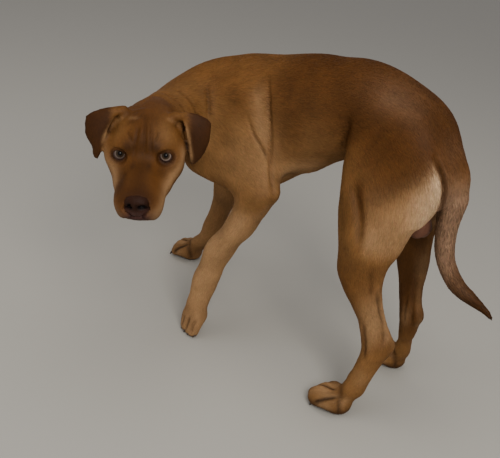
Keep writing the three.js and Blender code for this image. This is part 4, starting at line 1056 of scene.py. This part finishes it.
facing = np.stack([out, out, out, unit(half_out - 0.25 * half_side), unit(half_out + 0.25 * half_side),
                   half_out, end_out], 1)
uneven = 0.20 + 0.35 * at_roots(of_tail[:, None])[:, 0]
shade = (1 + uneven * draw.uniform(-1, 1, TUFTS))[:, None] * (1 + draw.normal(0, 0.03, (TUFTS, 3)))
colours = hue[:, None, :] * shade[:, None, :] * TONE_ALONG[None, :, None]

# the unwrap of the skin, and each tuft's own small place on it
bpy.context.view_layer.objects.active = skin
skin.select_set(True)
skin.data.uv_layers.new(name="OFBake")
bpy.ops.object.mode_set(mode="EDIT")
bpy.ops.mesh.select_all(action="SELECT")
bpy.ops.uv.smart_project(angle_limit=math.radians(66), island_margin=0.002)
bpy.ops.object.mode_set(mode="OBJECT")
skin.select_set(False)
flat = fetched(skin.data.uv_layers["OFBake"].data, "uv", 2)
loops_of = fetched(skin.data.loop_triangles, "loops", 3, np.int32)
patch = (flat[loops_of[facet]] * weight[:, :, None]).sum(1)
PATCH = 0.003
spread = PATCH * np.array(((-0.3, -0.5), (0.3, -0.5), (0.0, -0.4), (-0.5, 0.0), (0.5, 0.0), (0.0, 0.1),
                           (0.0, 0.5)))

coat_material = coated("short coat", 0.25)
share_out = np.array_split(np.argsort(root[:, 0]), PIECES)
for number, chosen in enumerate(share_out, 1):
    n = len(chosen)
    tuft_mesh = bpy.data.meshes.new(f"coat_{number}")
    faces = (BLADE[None] + 7 * np.arange(n)[:, None, None]).reshape(-1, 3)
    tuft_mesh.vertices.add(n * 7)
    tuft_mesh.loops.add(faces.size)
    tuft_mesh.polygons.add(len(faces))
    tuft_mesh.vertices.foreach_set("co", blade[chosen].astype(np.float32).ravel())
    tuft_mesh.loops.foreach_set("vertex_index", faces.astype(np.int32).ravel())
    tuft_mesh.polygons.foreach_set("loop_start", np.arange(0, faces.size, 3, dtype=np.int32))
    tuft_mesh.update(calc_edges=True)
    uv = tuft_mesh.uv_layers.new(name="OFBake")
    places = (patch[chosen][:, None] + spread[None]).reshape(-1, 2)[faces.ravel()]
    uv.data.foreach_set("uv", places.astype(np.float32).ravel())
    coloured(tuft_mesh, "coat", colours[chosen].reshape(-1, 3))
    tuft_mesh.shade_smooth()
    tuft_mesh.normals_split_custom_set_from_vertices(facing[chosen].reshape(-1, 3).tolist())
    tuft_mesh.materials.append(coat_material)
    tufts = bpy.data.objects.new(f"coat_{number}", tuft_mesh)
    bpy.context.scene.collection.objects.link(tufts)
    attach(tufts, "root")
    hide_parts(*FLESH)

# ---------------------------------------------------------------- claws
# Four short blunt curved claws of brown horn on each foot, the fore ones of the left foot pointing
# down where it stands on its toes.
CLAW_ROOT, CLAW_TIP = 3.5, 1.1
claws = bmesh.new()


def claw(start, bend, tip):
    rings = []
    start, bend, tip = (Vector(p) * MM for p in (start, bend, tip))
    for k in range(8):
        t = k / 7
        at = start * (1 - t) ** 2 + bend * 2 * t * (1 - t) + tip * t * t
        ahead = ((bend - start) * (1 - t) + (tip - bend) * t).normalized()
        across = ahead.cross(Vector((0, 0, 1))).normalized()
        above = across.cross(ahead)
        radius = (CLAW_ROOT + (CLAW_TIP - CLAW_ROOT) * t ** 1.4) * MM
        rings.append([claws.verts.new(at + (across * math.cos(a) * 0.72 + above * math.sin(a)) * radius)
                      for a in (2 * math.pi * j / 12 for j in range(12))])
    for low, upper in zip(rings, rings[1:]):
        for j in range(12):
            claws.faces.new((low[j], low[(j + 1) % 12], upper[(j + 1) % 12], upper[j]))
    claws.faces.new(rings[0][::-1])
    claws.faces.new(rings[-1])


for at, heading in FLAT_FEET.values():
    foot = foot_frame(at, heading)
    for k in TOES:
        back = 9 * abs(k)
        claw(foot(29 - back, 20 * k, 12), foot(38 - back, 20.5 * k, 13), foot(39 - back, 20.8 * k, 4))
for k in TOES:
    x, y = -131.5 + 12.5 * k, -20.5 + 2.2 * k * k - 2 * k
    claw((x, y + 6, 12), (x - 1.5, y - 2, 9), (x - 2, y - 3, 4))
bmesh.ops.recalc_face_normals(claws, faces=claws.faces)
horn, tree, shader = finish_of("claw horn", (0.05, 0.03, 0.02), 0.42)
place = added(tree, "TexCoord").outputs["Object"]
streaks = added(tree, "TexNoise", Vector=place, Scale=350).outputs["Fac"]
HORN = ((0.35, (0.018, 0.010, 0.007)), (0.7, (0.075, 0.046, 0.028)))
fed(tree, shader, Base_Color=ramped(tree, streaks, HORN))
horn_claws = piece("claws", claws, horn)
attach(horn_claws, "root")

# ---------------------------------------------------------------- eyes
# Two wet eyeballs with a pale hazel iris and a round black pupil under a clear bulged cornea.
IRIS_RADIUS, PUPIL_RADIUS, CORNEA_RISE = 7.6 * MM, 3.6 * MM, 1.0 * MM
LOOKS_AT = CAMERA_AT
# the right eye's iris is painted darker, 0.55 of the left's, as painted shade
for side, ring in (("left", 1.0), ("right", 0.55)):
    at = eye_at[side]
    sight = (LOOKS_AT - at).normalized()
    bm = bmesh.new()
    bmesh.ops.create_uvsphere(bm, u_segments=48, v_segments=32, radius=EYE_RADIUS)
    for v in bm.verts:
        far = math.hypot(v.co.x, v.co.y)
        if v.co.z > 0 and far < IRIS_RADIUS:
            v.co.z += CORNEA_RISE * (1 - (far / IRIS_RADIUS) ** 2) ** 1.5
    turned = sight.to_track_quat("Z", "Y").to_matrix().to_4x4()
    bmesh.ops.transform(bm, verts=bm.verts, matrix=Matrix.Translation(at) @ turned)
    material, tree, shader = finish_of(f"eye {side}", (0.3, 0.2, 0.1), 0.08)
    # how far each point is from the line of sight picks pupil, iris, its rim or the white
    place = added(tree, "TexCoord").outputs["Object"]
    centred = added(tree, "VectorMath", place, at, operation="SUBTRACT").outputs[0]
    off = added(tree, "VectorMath", centred, sight, operation="CROSS_PRODUCT").outputs[0]
    far = added(tree, "VectorMath", off, operation="LENGTH").outputs["Value"]
    share = added(tree, "MapRange", Value=far, From_Max=EYE_RADIUS).outputs["Result"]
    pupil, iris = PUPIL_RADIUS / EYE_RADIUS, IRIS_RADIUS / EYE_RADIUS
    colour = ramped(tree, share, (
        (pupil - 0.015, (0.004, 0.003, 0.003)),
        (pupil + 0.03, (0.030, 0.018, 0.010)),
        (iris * 0.80, (0.070 * ring, 0.047 * ring, 0.029 * ring)),
        (iris - 0.03, (0.230 * ring, 0.175 * ring, 0.140 * ring)),
        (iris + 0.04, (0.260 * ring, 0.190 * ring, 0.155 * ring)),
        (iris + 0.11, (0.060, 0.035, 0.028)),
    ))
    fed(tree, shader, Base_Color=colour, Specular_IOR_Level=0.0, Coat_Weight=0.35, Coat_Roughness=0.02)
    eye = piece(f"eyeball_{side}", bm, material)
    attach(eye, "root")
    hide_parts(f"eye_{side}")
